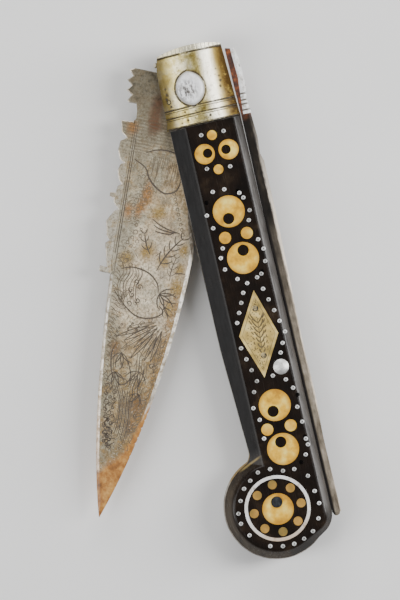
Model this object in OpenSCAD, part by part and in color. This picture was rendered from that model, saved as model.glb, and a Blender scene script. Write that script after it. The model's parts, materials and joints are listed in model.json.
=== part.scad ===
// Large folding clasp knife: a ratchet-toothed blade with a filed crest, horn scales set with bone
// and steel pins, brass bolsters, and a back spring that lies along the outside of the handle.
// The knife lies on its reverse side. X runs from the pivot to the pommel, Y towards the back spring
// and Z up through the thickness. The origin is the centre of the reverse rivet cap's face.

/* [Handle] */
// From the pivot to the end of the pommel
handle_l = 191.4; // [189:0.2:215]
// Back edge of the handle above the pivot
back_y = 17.2; // [17:0.1:18.6]
// Belly edge of the handle below the pivot
belly_y = 11.7; // [11.4:0.1:12.6]
// Length over which the belly rises towards the pommel
belly_run = 66; // [50:1:80]
// How much the belly rises from its middle to the neck
neck_rise = 1.9; // [0.5:0.1:3]
// Radius of the hollow where the belly runs into the pommel
neck_r = 5; // [3:0.5:7]
// Radius of the round pommel
pommel_r = 20.7; // [20.4:0.1:22]
// Pommel centre below the pivot
pommel_drop = 4; // [3.5:0.1:5]
// Radius of the pommel's upper corner
corner_r = 9; // [7:0.5:10]
// Thickness of each horn scale
scale_t = 6.4; // [5.6:0.1:7.4]
// Width of the sloping facet along the belly
belly_facet_w = 6.2; // [5:0.1:7]
// Height of the horn's upright wall below the belly facet
belly_wall = 2.2; // [1.4:0.1:3]
// Width of the bevel along the back
back_bevel_w = 2.4; // [1.6:0.1:3]
// Height of the horn's upright wall below the back bevel
back_wall = 2.6; // [1.6:0.1:3.4]
// Width of the bevel round the pommel
pommel_bevel_w = 3.3; // [2.4:0.1:3.6]
// Rounding of the ridges along the horn's face
ridge_r = 1.8; // [0.8:0.1:2.4]
// Thickness of each iron liner
liner_t = 1.0; // [0.8:0.1:1.6]
// How far the liners stand out past the horn
liner_proud = 0.15; // [0.05:0.05:0.3]
// How much further they stand out round the pommel
rim_proud = 0.3; // [0:0.05:0.4]

/* [Bolsters] */
// Head of the bolsters in front of the pivot
head_reach = 17; // [16.4:0.1:18.5]
// End of the bolsters behind the pivot
collar_x = 14.4; // [13.8:0.1:15.6]
// Gap between the bolsters and the horn
collar_gap = 0.6; // [0.2:0.1:1]
// Radius of the bolster's rounded face, along the handle
bolster_r = 22; // [19:0.5:28]
// Height of the bolster above its liner
bolster_h = 7.6; // [6.8:0.1:8.6]
// Height of the bead round the bolster's head
bead_h = 0.45; // [0.2:0.05:0.8]
// Width of the bead round the bolster's head
bead_w = 2.4; // [1.6:0.1:3.2]
// Width of the engraved rings
ring_w = 0.4; // [0.2:0.05:0.6]
// Depth of the engraved rings
ring_d = 0.35; // [0.2:0.05:0.6]
// Width of the raised ring round the rivet cap
collet_w = 0.8; // [0.5:0.05:1]
// Height of that ring
collet_h = 0.35; // [0.2:0.05:0.6]

/* [Pivot] */
// Radius of the pivot pin
pivot_r = 3; // [2.4:0.1:3.6]
// Radius of the two arcs that bound the oval rivet caps
cap_r = 7; // [6.4:0.1:7.4]
// How far the centre of each arc lies from the middle
cap_shift = 1.3; // [0.6:0.1:1.6]
// How far the rivet caps stand out past the top of the bolsters
cap_proud = 1.2; // [0.8:0.1:1.6]
// Radius of the arcs round the flat in the middle of each cap
cap_flat_r = 5.2; // [4.4:0.1:5.8]

/* [Blade] */
// Thickness of the blade at the tang
blade_t = 3; // [2.4:0.1:3.6]
// Room on each side of the blade in its slot
side_play = 0.3; // [0.2:0.05:0.5]
// Room between the closed blade's tip and the end of the pommel
tip_room = 16; // [13:0.5:22]
// Greatest depth of the blade from its axis to the edge
edge_depth = 15.1; // [13:0.1:15.6]
// Depth of the blade's straight spine at the end of the crest
spine_depth = 16; // [14:0.1:17.5]
// Distance from the pivot to the end of the crest
crest_end = 79; // [76:0.5:90]
// Thickness of the filed crest
crest_t = 2.4; // [1.6:0.1:2.8]
// Radius of the round tang
tang_r = 14.5; // [12:0.1:15]
// Number of ratchet teeth
teeth = 4; // [2:1:4]
// Radius of the ratchet's tooth tips
tooth_r = 25.6; // [24.4:0.1:26.4]
// Depth of the ratchet teeth
tooth_d = 2.2; // [1.2:0.1:2.8]
// Angle from one ratchet tooth to the next
tooth_pitch = 9.2; // [8:0.1:9.6]
// Width of the sharpened bevel
edge_bevel_w = 1.4; // [0.8:0.1:2.4]
// Width of the bevel along the spine past the crest
spine_bevel_w = 1.3; // [0.8:0.1:2]
// Angle of the blade below the handle's axis, half open
rest_turn = 25.1; // [20:0.1:40]
// How far below the pivot the closed blade's tip lies
tip_drop = 9.5; // [8.5:0.1:11]

/* [Back spring] */
// Head of the spring in front of the pivot
spring_head = 12.8; // [12:0.1:13.6]
// Tail of the spring past the pommel's centre
spring_tail = 7.6; // [4:0.1:8.5]
// Width of the spring
spring_w = 9.6; // [8.4:0.1:10.4]
// Height of the spring's upright sides
spring_side = 3.1; // [2.4:0.1:3.6]
// Width of the worn chamfer along the spring's outer edges
spring_chamfer = 1.6; // [0.8:0.1:2.2]
// Radius of the rolled lip at the spring's tail
tail_lip_r = 1.4; // [1:0.1:1.6]
// Gap between the spring and the back of the handle
spring_gap = 0.3; // [0.2:0.05:0.6]
// Width of the bar across the spring's head that drops into the blade's notch
lock_bar = 3.2; // [2.4:0.1:3.2]
// Length of the spring's window behind that bar
window_l = 17.5; // [16:0.1:18.5]
// Radius of the rivet that carries the spring
spring_rivet_r = 1.5; // [1.2:0.1:1.8]
// Radius of the lug round that rivet
lug_r = 3.5; // [3:0.1:3.6]
// Radius of the spring rivet's silver heads
spring_rivet_head = 3.1; // [2.6:0.1:3.4]
// Radius of the rivets that hold the silver cap on the spring
cap_rivet_r = 0.7; // [0.5:0.05:0.9]

/* [Inlay] */
// Radius of the pair of small eyes by the collar
small_eye_r = 4.05; // [3.4:0.05:4.4]
// Radius of the large eyes
eye_r = 6.4; // [5.4:0.1:7]
// Radius of the small eyes' pupils
small_pupil_r = 1.9; // [1.4:0.1:2.2]
// Radius of the large eyes' pupils
pupil_r = 2.25; // [1.6:0.05:2.8]
// Radius of the bone dots by the small eyes
small_dot_r = 1.95; // [1.4:0.05:2.2]
// Radius of the bone dots between the large eyes
dot_r = 2.4; // [1.8:0.1:2.6]
// Depth of the bone inlays
bone_d = 1.2; // [0.8:0.1:1.6]
// How far the bone stands out of the horn
bone_proud = 0.08; // [0.02:0.02:0.2]
// Radius of the steel pins
pin_r = 0.85; // [0.6:0.05:0.95]
// Depth of the steel pins
pin_d = 2; // [1:0.1:2.4]
// How far the steel pins stand out of the horn
pin_proud = 0.25; // [0.1:0.05:0.4]
// Radius of the pins through the lozenge
lozenge_pin_r = 1.2; // [0.8:0.1:1.4]
// Outer radius of the silver ring in the pommel
ring_r = 13.2; // [12.8:0.1:13.6]
// Width of the silver ring
ring_band = 1.3; // [1:0.1:1.5]
// Depth of the silver ring
ring_depth = 0.9; // [0.5:0.1:1.4]
// Number of bone dots inside the silver ring
ring_dots = 8; // [6:1:9]
// Distance of those dots' centres inside the ring
ring_dots_in = 2.3; // [2.1:0.1:2.6]
// Radius of each of those dots
ring_dot_size = 1.8; // [1.4:0.1:1.9]
// Radius of the rivet through the pommel
pommel_rivet_r = 1.2; // [1:0.1:1.5]

/* [Fits] */
// Radial clearance of the blade and the spring on their pins
running_fit = 0.05; // [0.02:0.01:0.1]
// Radial clearance of fixed pins and inlays in their seats
seat_fit = 0.03; // [0.02:0.01:0.06]
// Gap between the closed blade and the spacer behind it
spacer_gap = 1; // [0.7:0.1:1.4]

/* [Hidden] */
$fn = 72;

// Heights, measured from the blade's middle plane
slot_half = blade_t / 2 + side_play;
liner_top = slot_half + liner_t;
face_top = liner_top + scale_t;
bolster_top = liner_top + bolster_h;
cap_top = bolster_top + cap_proud;
mid_z = cap_top;

// Lines along the handle
horn_x = collar_x + collar_gap;
pommel_x = handle_l - pommel_r;
pommel_y = -pommel_drop;
face_hi = back_y - back_bevel_w;
face_lo = -belly_y + belly_facet_w;
face_mid = (face_hi + face_lo) / 2;
corner_x = pommel_x + 6.2;
pommel_c = [pommel_x, pommel_y];
corner_at = [corner_x, back_y - corner_r];
// Direction in which the flat between the pommel and its corner faces
corner_lean = atan2(corner_at[1] - pommel_y, corner_x - pommel_x)
    - acos(min(1, (pommel_r - corner_r) / norm(corner_at - pommel_c)));
belly_break = pommel_x - belly_run;
neck_y = -belly_y + neck_rise;

// Floor of the rivet cap's seat above the liner, and the small pin low on each bolster
cap_seat = bolster_h - 2.2;
bolster_pin_at = [3.5, -belly_y + 2.2];
// Line under which the bolster's round face is centred
bolster_mid = face_mid - 2;
// Nub under the head of the reverse bolster
nub_r = 1;
nub_h = 2.4;
nub_at = [bead_w - head_reach + 1.9, 0.4 - belly_y];

// The inlay is laid out on a flat of 155.7 by 20.3 mm, and spread over the flat that the scale has
function spread(p) = [p[0] * (pommel_x - horn_x) / 155.7, p[1] * (face_hi - face_lo) / 20.3];

// Places of the inlaid groups: a pair by the collar, pairs each side of the lozenge, and the pommel
pair_a = [horn_x, face_mid] + spread([12, 0]);
pair_b = [horn_x, face_mid] + spread([46.3, 0]);
pair_d = [pommel_x, face_mid] - spread([30.8, 0]);
lozenge_at = (pair_b + pair_d) / 2 + spread([1.2, 0]);
pommel_at = [pommel_x + 0.5, pommel_y + 0.3];
spring_rivet_at = lozenge_at + spread([14.6, 5.7]);

// Eyes: centre, radius, pupil's offset, pupil's radius
eyes = [
    [pair_a + spread([0.1, 4.8]), small_eye_r, [-0.2, -1.0], small_pupil_r],
    [pair_a + spread([-0.1, -4.9]), small_eye_r, [-0.1, 1.2], small_pupil_r],
    [pair_b + spread([-10, -0.7]), eye_r, [2.8, -0.7], pupil_r],
    [pair_b + spread([9.4, 0.7]), eye_r, [-3, 0.7], pupil_r],
    [pair_d + spread([-9.1, -0.2]), eye_r, [2.3, -1.2], pupil_r],
    [pair_d + spread([8.7, -0.9]), eye_r, [-2.9, -0.3], pupil_r]
];
pommel_eye_r = 6.3;
pommel_eye_at = pommel_at + [0.3, 0.1];
pommel_rivet_at = pommel_eye_at + [-2.8, 0.1];
pommel_rivet_head = 2.3;
ring_dots_r = ring_r - ring_band - ring_dots_in;

// Small bone dots: centre and radius
dots = [
    [pair_a + spread([-6.9, -0.4]), small_dot_r], [pair_a + spread([7, -0.9]), small_dot_r],
    [pair_b + spread([0, 4.4]), dot_r], [pair_b + spread([0, -4.5]), dot_r],
    [pair_d + spread([0.2, 4.2]), dot_r], [pair_d + spread([-0.2, -5.3]), dot_r]
];

lozenge_corners = [spread([-17.6, 1.9]), spread([1.2, 7.7]), spread([17.4, -1.7]), spread([-0.9, -7.9])];
lozenge_pin_at = [lozenge_at + spread([-10.3, 0.9]), lozenge_at + spread([8.7, 0])];

// Steel pins: loose ones round each pair, straight rows along the lozenge, a ring round the pommel
pins_a = [[-7.5, 4.5], [-7.8, -4.6], [6.9, 3.9], [5.8, -5.4]];
pins_b = [
    [-17.1, 4.6], [-14.1, 6.2], [-8.6, 7.5], [-4.8, 6.3], [-19, -0.5], [-19, -5.2], [-10.3, -9.6],
    [-4.8, -8.3], [3.5, 8.2], [7.6, 9.5], [12.6, 9], [16.3, 6.8], [18.2, 4.6], [19.6, 0],
    [17.1, -3.4], [3.9, -6.4], [7.5, -8], [12.3, -7.4]
];
pins_d = [
    [-20.7, 1.7], [-18.1, 6.4], [-16, -7.1], [-14.2, 8.5], [-6.4, 8.4], [-9.8, -8.8],
    [-4.7, -7.4], [-0.2, 9], [3, -7.4], [5.9, 8.7], [8.9, 9.2], [12.9, 7.4]
];
// Rows beside the lozenge: first pin, last pin, number of pins
pin_rows = [
    [[-17.3, 5.7], [1.3, 10.4], 5], [[5.5, 8.4], [9.1, 6.8], 2],
    [[-17.5, -2.4], [-6.3, -7.5], 4], [[3.9, -8.2], [18.1, -5], 4]
];
// Pins round the pommel: angle, and distance past the silver ring where its rim is 7.5 mm wide
pommel_pins = [
    [12, 2.5], [28, 2.9], [44, 3.6], [63, 3.6], [84, 3.5], [102, 3.1], [124, 4.5], [144, 3.8],
    [159, 1.9], [178, 2.7], [196, 3.1], [212, 2.3], [227, 2.3], [246, 1.9], [265, 2.6],
    [280, 2.7], [301, 2.4], [336, 2.2], [355, 2.1]
];
steel_pin_at = concat(
    [for (p = pins_a) pair_a + spread(p)],
    [for (p = pins_b) pair_b + spread(p)],
    [for (p = pins_d) pair_d + spread(p)],
    [for (row = pin_rows, i = [0:row[2] - 1])
        lozenge_at + spread(row[0] + (row[1] - row[0]) * i / (row[2] - 1))],
    [for (p = pommel_pins) pommel_at + polar(ring_r + p[1] * (pommel_r - ring_r) / 7.5, p[0])]
);
// Pin holes that have lost their pins
empty_pin_at = [pair_b + spread([-15.3, -8.6]), pair_d + spread([-11.1, 9.6]), pair_d + spread([15.5, 4.9])];

// Blade, in its own frame: x along the blade from the pivot, y towards the edge
blade_l = handle_l - tip_room;
blade_free = blade_l - crest_end;
closed_turn = asin(tip_drop / blade_l);
notch_r = 22.3;
notch_end = 17.2;
tang_front = -3.8;
tooth_first = -96;
tip_y = 0.2;
tip_half = 0.15;
heel = [[18, 8.4], [30, 8.8], [42, 9.6], [50, 11], [57, 12.9], [61, 14.4]];
edge_start = 65;
edge_curve = [
    [edge_start, edge_depth],
    [edge_start + 0.27 * (blade_l - edge_start), edge_depth + 0.5],
    [edge_start + 0.65 * (blade_l - edge_start), edge_depth - 2.5],
    [blade_l, tip_y + tip_half]
];
spine_curve = [
    [crest_end, -spine_depth],
    [crest_end + 0.34 * blade_free, -spine_depth + 2.6],
    [crest_end + 0.72 * blade_free, -spine_depth + 7.4],
    [blade_l, tip_y - tip_half]
];
// The filed crest, from its front corner to the spur at its end: place along it, height above the spine
crest = [
    [0, 5.6], [4.8, 4.5], [6.5, 2.2], [8.3, 4.6], [11.9, 4.9], [15.3, 3.6], [16.6, 1.7], [17.3, 2.9],
    [19.8, 3.8], [23.5, 2.7], [25.1, 1.3], [26.3, 2.7], [29, 3.1], [29.3, 5.2], [30.7, 5.3],
    [31.3, 3.4], [33, 3.2], [35.1, 1], [36.3, 2.4], [40.8, 5.1], [44.3, 4.2], [46.3, 3.9],
    [48.1, 2.4], [49.7, 4], [52.3, 3.2], [57.3, 2.1], [59, 1.7], [58.8, 4.5], [60, 4.7], [61.3, 4.3]
];
crest_start = 17.7;

// Back spring, seen from the front
spring_in = back_y + spring_gap;
spring_end = pommel_x + spring_tail;
spring_shoulder = spring_in + spring_side;
spring_top = spring_shoulder + 2.1;
spring_half = spring_w / 2;
lug_half = slot_half - side_play / 3;
// Silver cap: its end at the horn, the top of its dome, and the end of the dome along the spring
cap_end = horn_x - 0.4;
cap_crown = back_y + 5.05;
dome_end = 6.2;
// Upper side of the spring's head, on which the silver cap is seated: place, height above the back edge
head_seat = [[-spring_head + 0.5, 1.9], [0, 2.4], [7, 1.8], [cap_end, 1.2]];
// Worn outer edge of the spring: share of the length past the collar, height above its sides
spring_wear = [
    [0, 0.9], [0.06, 1.4], [0.1, 0.9], [0.12, 1.8], [0.28, 1.7], [0.4, 1.2], [0.5, 0.7],
    [0.62, 0.5], [0.7, 0.8], [0.81, 0], [0.85, 0], [1, 0.3]
];
// Rivets of the silver cap: place along the spring, and across it
cap_rivet_at = [[-5, spring_half - 1.5], [-5, 1.5 - spring_half], [11.5, 0]];

function mix(a, b, k) = a + (b - a) * k;
function polar(r, turn) = [r * cos(turn), r * sin(turn)];
function turned(p, turn) = [p[0] * cos(turn) - p[1] * sin(turn), p[0] * sin(turn) + p[1] * cos(turn)];
function bezier(c, t) =
    pow(1 - t, 3) * c[0] + 3 * t * pow(1 - t, 2) * c[1] + 3 * t * t * (1 - t) * c[2] + pow(t, 3) * c[3];

// Points that round the corner b of a line a-b-c with radius r
function rounded(a, b, c, r) = let (
    u = (a - b) / norm(a - b), v = (c - b) / norm(c - b),
    half = acos(u * v) / 2,
    centre = b + (u + v) / norm(u + v) * r / sin(half),
    from = b + u * r / tan(half) - centre, to = b + v * r / tan(half) - centre,
    start = atan2(from[1], from[0]), sweep = atan2(to[1], to[0]) - start,
    short = sweep > 180 ? sweep - 360 : sweep < -180 ? sweep + 360 : sweep
) [for (k = [0:3]) centre + polar(r, start + k * short / 3)];

// Straight spine under the crest, then the curve that falls to the tip
spine_samples = [for (t = [0:0.02:1]) bezier(spine_curve, t)];
spine_slope = 0.048;
function spine_y(x) =
    x < crest_end ? -spine_depth - (crest_end - x) * spine_slope : lookup(x, spine_samples);

// Places one side's pieces on the middle plane, as drawn for the front or mirrored for the reverse
module on_front() translate([0, 0, mid_z]) children();
module on_reverse() translate([0, 0, mid_z]) mirror([0, 0, 1]) children();

// Turns a section drawn as [along Y, along Z] and runs it along X
module along_x(from_x, to_x)
    translate([from_x, 0, 0]) rotate([90, 0, 90]) linear_extrude(to_x - from_x) children();

// Skins a row of equal rings into one closed solid
module skinned(rings) {
    n = len(rings[0]);
    last = (len(rings) - 1) * n;
    polyhedron(
        points = [for (ring = rings) each ring],
        faces = concat(
            [[for (i = [0:n - 1]) i]],
            [[for (i = [n - 1:-1:0]) last + i]],
            [for (k = [0:n:last - n], i = [0:n - 1]) [k + i, k + n + i, k + (i + 1) % n]],
            [for (k = [0:n:last - n], i = [0:n - 1]) [k + (i + 1) % n, k + n + i, k + n + (i + 1) % n]]
        )
    );
}

// Plate with the handle's outline behind the collar, grown by g all round. Its straight stretches end
// a hair inside the arcs that they run into.
module handle_plate(h, from_x, g = 0) {
    hair = 0.02;
    hollow_y = neck_y - neck_r;
    hollow = [pommel_x - sqrt(pow(pommel_r + neck_r, 2) - pow(hollow_y - pommel_y, 2)), hollow_y];
    to_pommel = atan2(pommel_y - hollow_y, pommel_x - hollow[0]);
    linear_extrude(h) polygon(concat(
        [[from_x, back_y + g], [corner_x, back_y + g], corner_at + [0, 1], pommel_c],
        [hollow + polar(neck_r - g + 3 * hair, to_pommel)],
        [for (k = [0:0.125:1]) hollow + polar(neck_r - g, to_pommel + k * (90 - to_pommel))],
        [[belly_break, -belly_y - g], [from_x, -belly_y - g]]
    ));
    translate(pommel_c) cylinder(h = h, r = pommel_r + g, $fn = 144);
    translate(corner_at - [0, hair]) cylinder(h = h, r = corner_r + g);
    linear_extrude(h) polygon([
        pommel_c - [3, 3], pommel_c + polar(pommel_r + g - hair, corner_lean),
        corner_at + polar(corner_r + g - hair, corner_lean), corner_at - [3, 0]
    ]);
}

// Outline of a bolster: a bowed head, a back and belly that run on into the handle, and a small flare
module bolster_outline() {
    bow_r = 51;
    intersection() {
        polygon([
            [-head_reach - 1, back_y - 1.4], [collar_x, back_y], [collar_x, -belly_y - 0.2],
            [collar_x + 0.5, -belly_y - 0.6], [collar_x + 0.4, -belly_y - 1.3],
            [collar_x - 2.4, -belly_y - 0.5], [-9, -belly_y], [-14, -belly_y + 1.1],
            [-head_reach - 1, -belly_y + 2.3]
        ]);
        translate([bow_r - head_reach, face_mid - 1.6]) circle(bow_r, $fn = 180);
    }
}

// One horn scale, lying on its liner
module scale_blank() {
    skirt = 2;
    belly_foot = [-belly_y - skirt, belly_wall - skirt * (scale_t - belly_wall) / belly_facet_w];
    back_foot = [back_y + 1, back_wall - (scale_t - back_wall) / back_bevel_w];
    ridges = [[face_lo, scale_t], [face_hi, scale_t]];
    intersection() {
        handle_plate(scale_t, horn_x);
        union() {
            along_x(horn_x - 1, corner_x) polygon(concat(
                [[belly_foot[0], 0], belly_foot], rounded(belly_foot, ridges[0], ridges[1], ridge_r),
                rounded(ridges[0], ridges[1], back_foot, ridge_r), [back_foot, [back_foot[0], 0]]
            ));
            for (k = [0:0.2:1]) {
                bevel = mix(pommel_bevel_w, back_bevel_w, k);
                wall = mix(belly_wall, back_wall, k);
                ridge = [mix(pommel_r, corner_r, k) - bevel, scale_t];
                foot = [ridge[0] + bevel * scale_t / (scale_t - wall), 0];
                translate(mix(pommel_c, corner_at, k)) rotate_extrude()
                    polygon(concat([[0, 0], foot], rounded(foot, ridge, [0, scale_t], ridge_r), [[0, scale_t]]));
            }
        }
    }
}

// Every seat cut into one scale, from its face at scale_t
module scale_seats() {
    bone_floor = scale_t - bone_d;
    for (e = eyes) translate([each e[0], bone_floor]) cylinder(h = 2 * bone_d, r = e[1] + seat_fit);
    for (d = dots) translate([each d[0], bone_floor]) cylinder(h = 2 * bone_d, r = d[1] + seat_fit);
    translate([each pommel_eye_at, bone_floor]) cylinder(h = 2 * bone_d, r = pommel_eye_r + seat_fit);
    for (i = [0:ring_dots - 1])
        translate([each (pommel_at + polar(ring_dots_r, i * 360 / ring_dots)), bone_floor])
            cylinder(h = 2 * bone_d, r = ring_dot_size + seat_fit);
    translate([each lozenge_at, bone_floor])
        linear_extrude(2 * bone_d) scale(1 + seat_fit / 8) polygon(lozenge_corners);
    for (p = lozenge_pin_at) translate([each p, scale_t - pin_d]) cylinder(h = pin_d, r = lozenge_pin_r + seat_fit);
    for (p = concat(steel_pin_at, empty_pin_at))
        translate([each p, scale_t - pin_d]) cylinder(h = 2 * pin_d, r = pin_r + seat_fit);
    translate([each pommel_at, scale_t - ring_depth]) difference() {
        cylinder(h = 2 * ring_depth, r = ring_r + seat_fit);
        translate([0, 0, -1]) cylinder(h = 2 * ring_depth + 2, r = ring_r - ring_band - seat_fit);
    }
    translate([each spring_rivet_at, -1]) cylinder(h = scale_t + 2, r = spring_rivet_r + seat_fit);
    translate([each pommel_rivet_at, -1]) cylinder(h = scale_t + 2, r = pommel_rivet_r + seat_fit);
}

module horn_scale() color("#241d1a") translate([0, 0, liner_top]) difference() {
    scale_blank();
    scale_seats();
}

// The liners' rim shows most round the pommel, and stays below the spring
module liner() color("#6f6a62") translate([0, 0, slot_half]) difference() {
    rim_r = min(pommel_r + rim_proud, back_y + pommel_drop) + liner_proud;
    union() {
        handle_plate(liner_t, collar_x - 1, liner_proud);
        linear_extrude(liner_t) bolster_outline();
        translate(pommel_c) cylinder(h = liner_t, r = rim_r, $fn = 144);
    }
    for (hole = [[[0, 0], pivot_r], [spring_rivet_at, spring_rivet_r], [pommel_rivet_at, pommel_rivet_r]])
        translate([each hole[0], -1]) cylinder(h = liner_t + 2, r = hole[1] + seat_fit);
}

// What two equal pieces share when they are moved apart across the handle: an oval along it
module oval() intersection() {
    translate([0, cap_shift, 0]) children();
    translate([0, -cap_shift, 0]) children();
}

// Round bar along the bolster whose top is the bolster's face, raised by h
module bolster_bar(from_x, to_x, h = 0)
    translate([from_x, bolster_mid, bolster_h - bolster_r]) rotate([0, 90, 0])
        cylinder(h = to_x - from_x, r = bolster_r + h, $fn = 144);

module bolster() color("#b79a4e") translate([0, 0, liner_top]) difference() {
    intersection() {
        linear_extrude(bolster_h + cap_proud) bolster_outline();
        union() {
            bolster_bar(-head_reach - 1, collar_x + 1);
            bolster_bar(-head_reach - 1, bead_w - head_reach, bead_h);
            bolster_bar(collar_x - 3.8, collar_x + 1, bead_h / 2);
            intersection() {
                bolster_bar(-cap_r - collet_w, cap_r + collet_w, collet_h);
                oval() cylinder(h = bolster_h + collet_h, r = cap_r + collet_w);
            }
        }
    }
    for (x = [bead_w - head_reach + 0.3, collar_x - 7.4, collar_x - 4.3]) difference() {
        bolster_bar(x - ring_w / 2, x + ring_w / 2, 1);
        bolster_bar(x - ring_w, x + ring_w, -ring_d);
    }
    translate([0, 0, -1]) cylinder(h = bolster_h + 2, r = pivot_r + seat_fit);
    translate([0, 0, cap_seat]) oval() cylinder(h = bolster_h, r = cap_r + seat_fit);
    translate([each bolster_pin_at, -1]) cylinder(h = bolster_h, r = pin_r + seat_fit);
}

// Nub that shows past the belly below the reverse bolster's head
module bolster_nub() color("#b79a4e") translate([each nub_at, liner_top]) cylinder(h = nub_h, r = nub_r);

// Head of the pivot: a low oval disc with a flat face and a rounded rim
module rivet_cap() color("#d8d6d0") translate([0, 0, liner_top + cap_seat]) {
    h = bolster_h + cap_proud - cap_seat;
    rim = cap_r - cap_flat_r;
    difference() {
        oval() rotate_extrude() {
            square([cap_flat_r, h]);
            square([cap_r, h - rim / 2]);
            intersection() {
                square([cap_r, h]);
                translate([cap_flat_r, h - rim]) circle(rim);
            }
        }
        translate([0, 0, -1]) cylinder(h = h, r = pivot_r + seat_fit);
    }
}

module pivot_pin() color("#8d8a84") translate([0, 0, mid_z]) {
    reach = cap_top - 1;
    translate([0, 0, -reach]) cylinder(h = 2 * reach, r = pivot_r);
}

// Short pins that fasten the bolsters to their liners
module bolster_pin() {
    drop = bolster_r - sqrt(pow(bolster_r, 2) - pow(bolster_pin_at[1] - bolster_mid, 2));
    translate([each bolster_pin_at, liner_top]) cylinder(h = bolster_h - drop + 0.6, r = pin_r);
}

// A domed head on a flat seat
module domed_head(r, h) {
    dome_r = (r * r + h * h) / (2 * h);
    intersection() {
        cylinder(h = h, r = r);
        translate([0, 0, h - dome_r]) sphere(dome_r, $fn = 96);
    }
}

module spring_rivet() color("#cfcdc6") translate([each spring_rivet_at, mid_z]) {
    translate([0, 0, -face_top]) cylinder(h = 2 * face_top, r = spring_rivet_r);
    for (flip = [0, 1]) mirror([0, 0, flip]) translate([0, 0, face_top]) domed_head(spring_rivet_head, 0.9);
}

module pommel_rivet() color("#4c525c") translate([each pommel_rivet_at, mid_z]) {
    head = face_top - bone_d;
    translate([0, 0, -head]) cylinder(h = 2 * head, r = pommel_rivet_r);
    for (flip = [0, 1]) mirror([0, 0, flip]) translate([0, 0, head])
        cylinder(h = bone_d + pin_proud, r = pommel_rivet_head - seat_fit);
}

// Filler between the liners, behind the closed blade's edge and past its tip
module pommel_spacer() color("#3a332d") translate([0, 0, mid_z - slot_half]) difference() {
    intersection() {
        handle_plate(2 * slot_half, horn_x);
        union() {
            linear_extrude(2 * slot_half) polygon(concat(
                [[spring_rivet_at[0] + 6, back_y + 5], [spring_rivet_at[0] + 6, face_mid + 4]],
                [for (t = [0.62:0.1:0.98])
                    turned(bezier(edge_curve, t), -closed_turn) + [0, spacer_gap]],
                [turned([blade_l + spacer_gap, tip_y], -closed_turn), [handle_l + 5, -20],
                    [handle_l + 5, back_y + 5]]
            ));
            difference() {
                translate([pommel_x - 5, pommel_y - 2 * pommel_r, 0])
                    cube([3 * pommel_r, 2 * pommel_r, 2 * slot_half]);
                translate([0, 0, -1]) cylinder(h = 2 * slot_half + 2, r = blade_l + spacer_gap, $fn = 360);
            }
        }
    }
    translate([each pommel_rivet_at, -1]) cylinder(h = 2 * slot_half + 2, r = pommel_rivet_r + seat_fit);
}

// Tang of the blade: round at the pivot, ratchet teeth, then the notch that the spring's bar drops into
module tang_outline() {
    last_tooth = tooth_first + (teeth - 1) * tooth_pitch;
    circle(tang_r);
    polygon(concat(
        [[tang_front, 0], [tang_front, -tooth_r + tooth_d - 0.1]],
        [for (i = [0:2 * teeth - 2])
            polar(tooth_r - (i % 2) * tooth_d, tooth_first + i * tooth_pitch / 2)],
        [polar(tooth_r - 0.4, last_tooth + 2.3), polar(notch_r, last_tooth + 5.3),
            [13, -19], [16, -18.8], [notch_end, spine_y(notch_end) - 0.5],
            [notch_end, spine_y(notch_end)], [24, spine_y(24)], [24, lookup(24, heel)], heel[0], [0, 8]]
    ));
}

// The crest's outline above the spine, grown a little down into the blade
module crest_outline() {
    along = (crest_end - crest_start) / crest[len(crest) - 1][0];
    polygon(concat(
        [for (c = crest) [crest_start + c[0] * along, spine_y(crest_start + c[0] * along) - c[1]]],
        [[crest_end, spine_y(crest_end) + 1], [notch_end, spine_y(notch_end) + 1]]
    ));
}

// Ground part of the blade: a wedge from spine to edge that thins towards the tip
module ground_blade() {
    edge = concat(heel, [for (t = [0:0.05:1]) bezier(edge_curve, t)]);
    skinned([for (e = edge) let (
        x = e[0],
        top = e[1],
        low = spine_y(x),
        depth = top - low,
        u = max(0, (x - crest_end) / blade_free),
        half = (blade_t / 2 - 0.02) * (1 - 0.6 * u * u),
        grind = min(1, max(0, (x - 30) / 35)),
        edge_half = half * (1 - 0.66 * grind),
        bevel = min(edge_bevel_w, depth * 0.3),
        sharp = edge_half * (1 - 0.9 * grind),
        swage = min(spine_bevel_w, depth * 0.3),
        spine_half = x < crest_end ? half - 0.02 : half * 0.6
    ) [
        [x, low, -spine_half], [x, low + swage, -half], [x, top - bevel, -edge_half], [x, top, -sharp],
        [x, top, sharp], [x, top - bevel, edge_half], [x, low + swage, half], [x, low, spine_half]
    ]]);
}

module blade() color("#8f857a") translate([0, 0, mid_z]) rotate([0, 0, -rest_turn]) difference() {
    union() {
        translate([0, 0, -blade_t / 2]) linear_extrude(blade_t) tang_outline();
        translate([0, 0, -crest_t / 2]) linear_extrude(crest_t) crest_outline();
        ground_blade();
    }
    translate([0, 0, -blade_t]) cylinder(h = 2 * blade_t, r = pivot_r + running_fit);
}

module spring_outline() {
    span = spring_end - horn_x;
    polygon(concat(
        [[-spring_head, back_y]],
        [for (p = head_seat) [p[0], back_y + p[1]]],
        [[cap_end, spring_shoulder + spring_wear[0][1]]],
        [for (w = spring_wear) [horn_x + w[0] * span, spring_shoulder + w[1]]],
        [[spring_end, spring_in], [pair_b[0], spring_in], [collar_x, spring_in + 0.2]]
    ));
}

// Section of the spring: upright sides and a broad worn chamfer on each outer edge
module spring_section() {
    polygon([
        [back_y - 1, -spring_half], [spring_shoulder, -spring_half],
        [spring_top, spring_chamfer - spring_half], [spring_top, spring_half - spring_chamfer],
        [spring_shoulder, spring_half], [back_y - 1, spring_half]
    ]);
}

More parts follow.
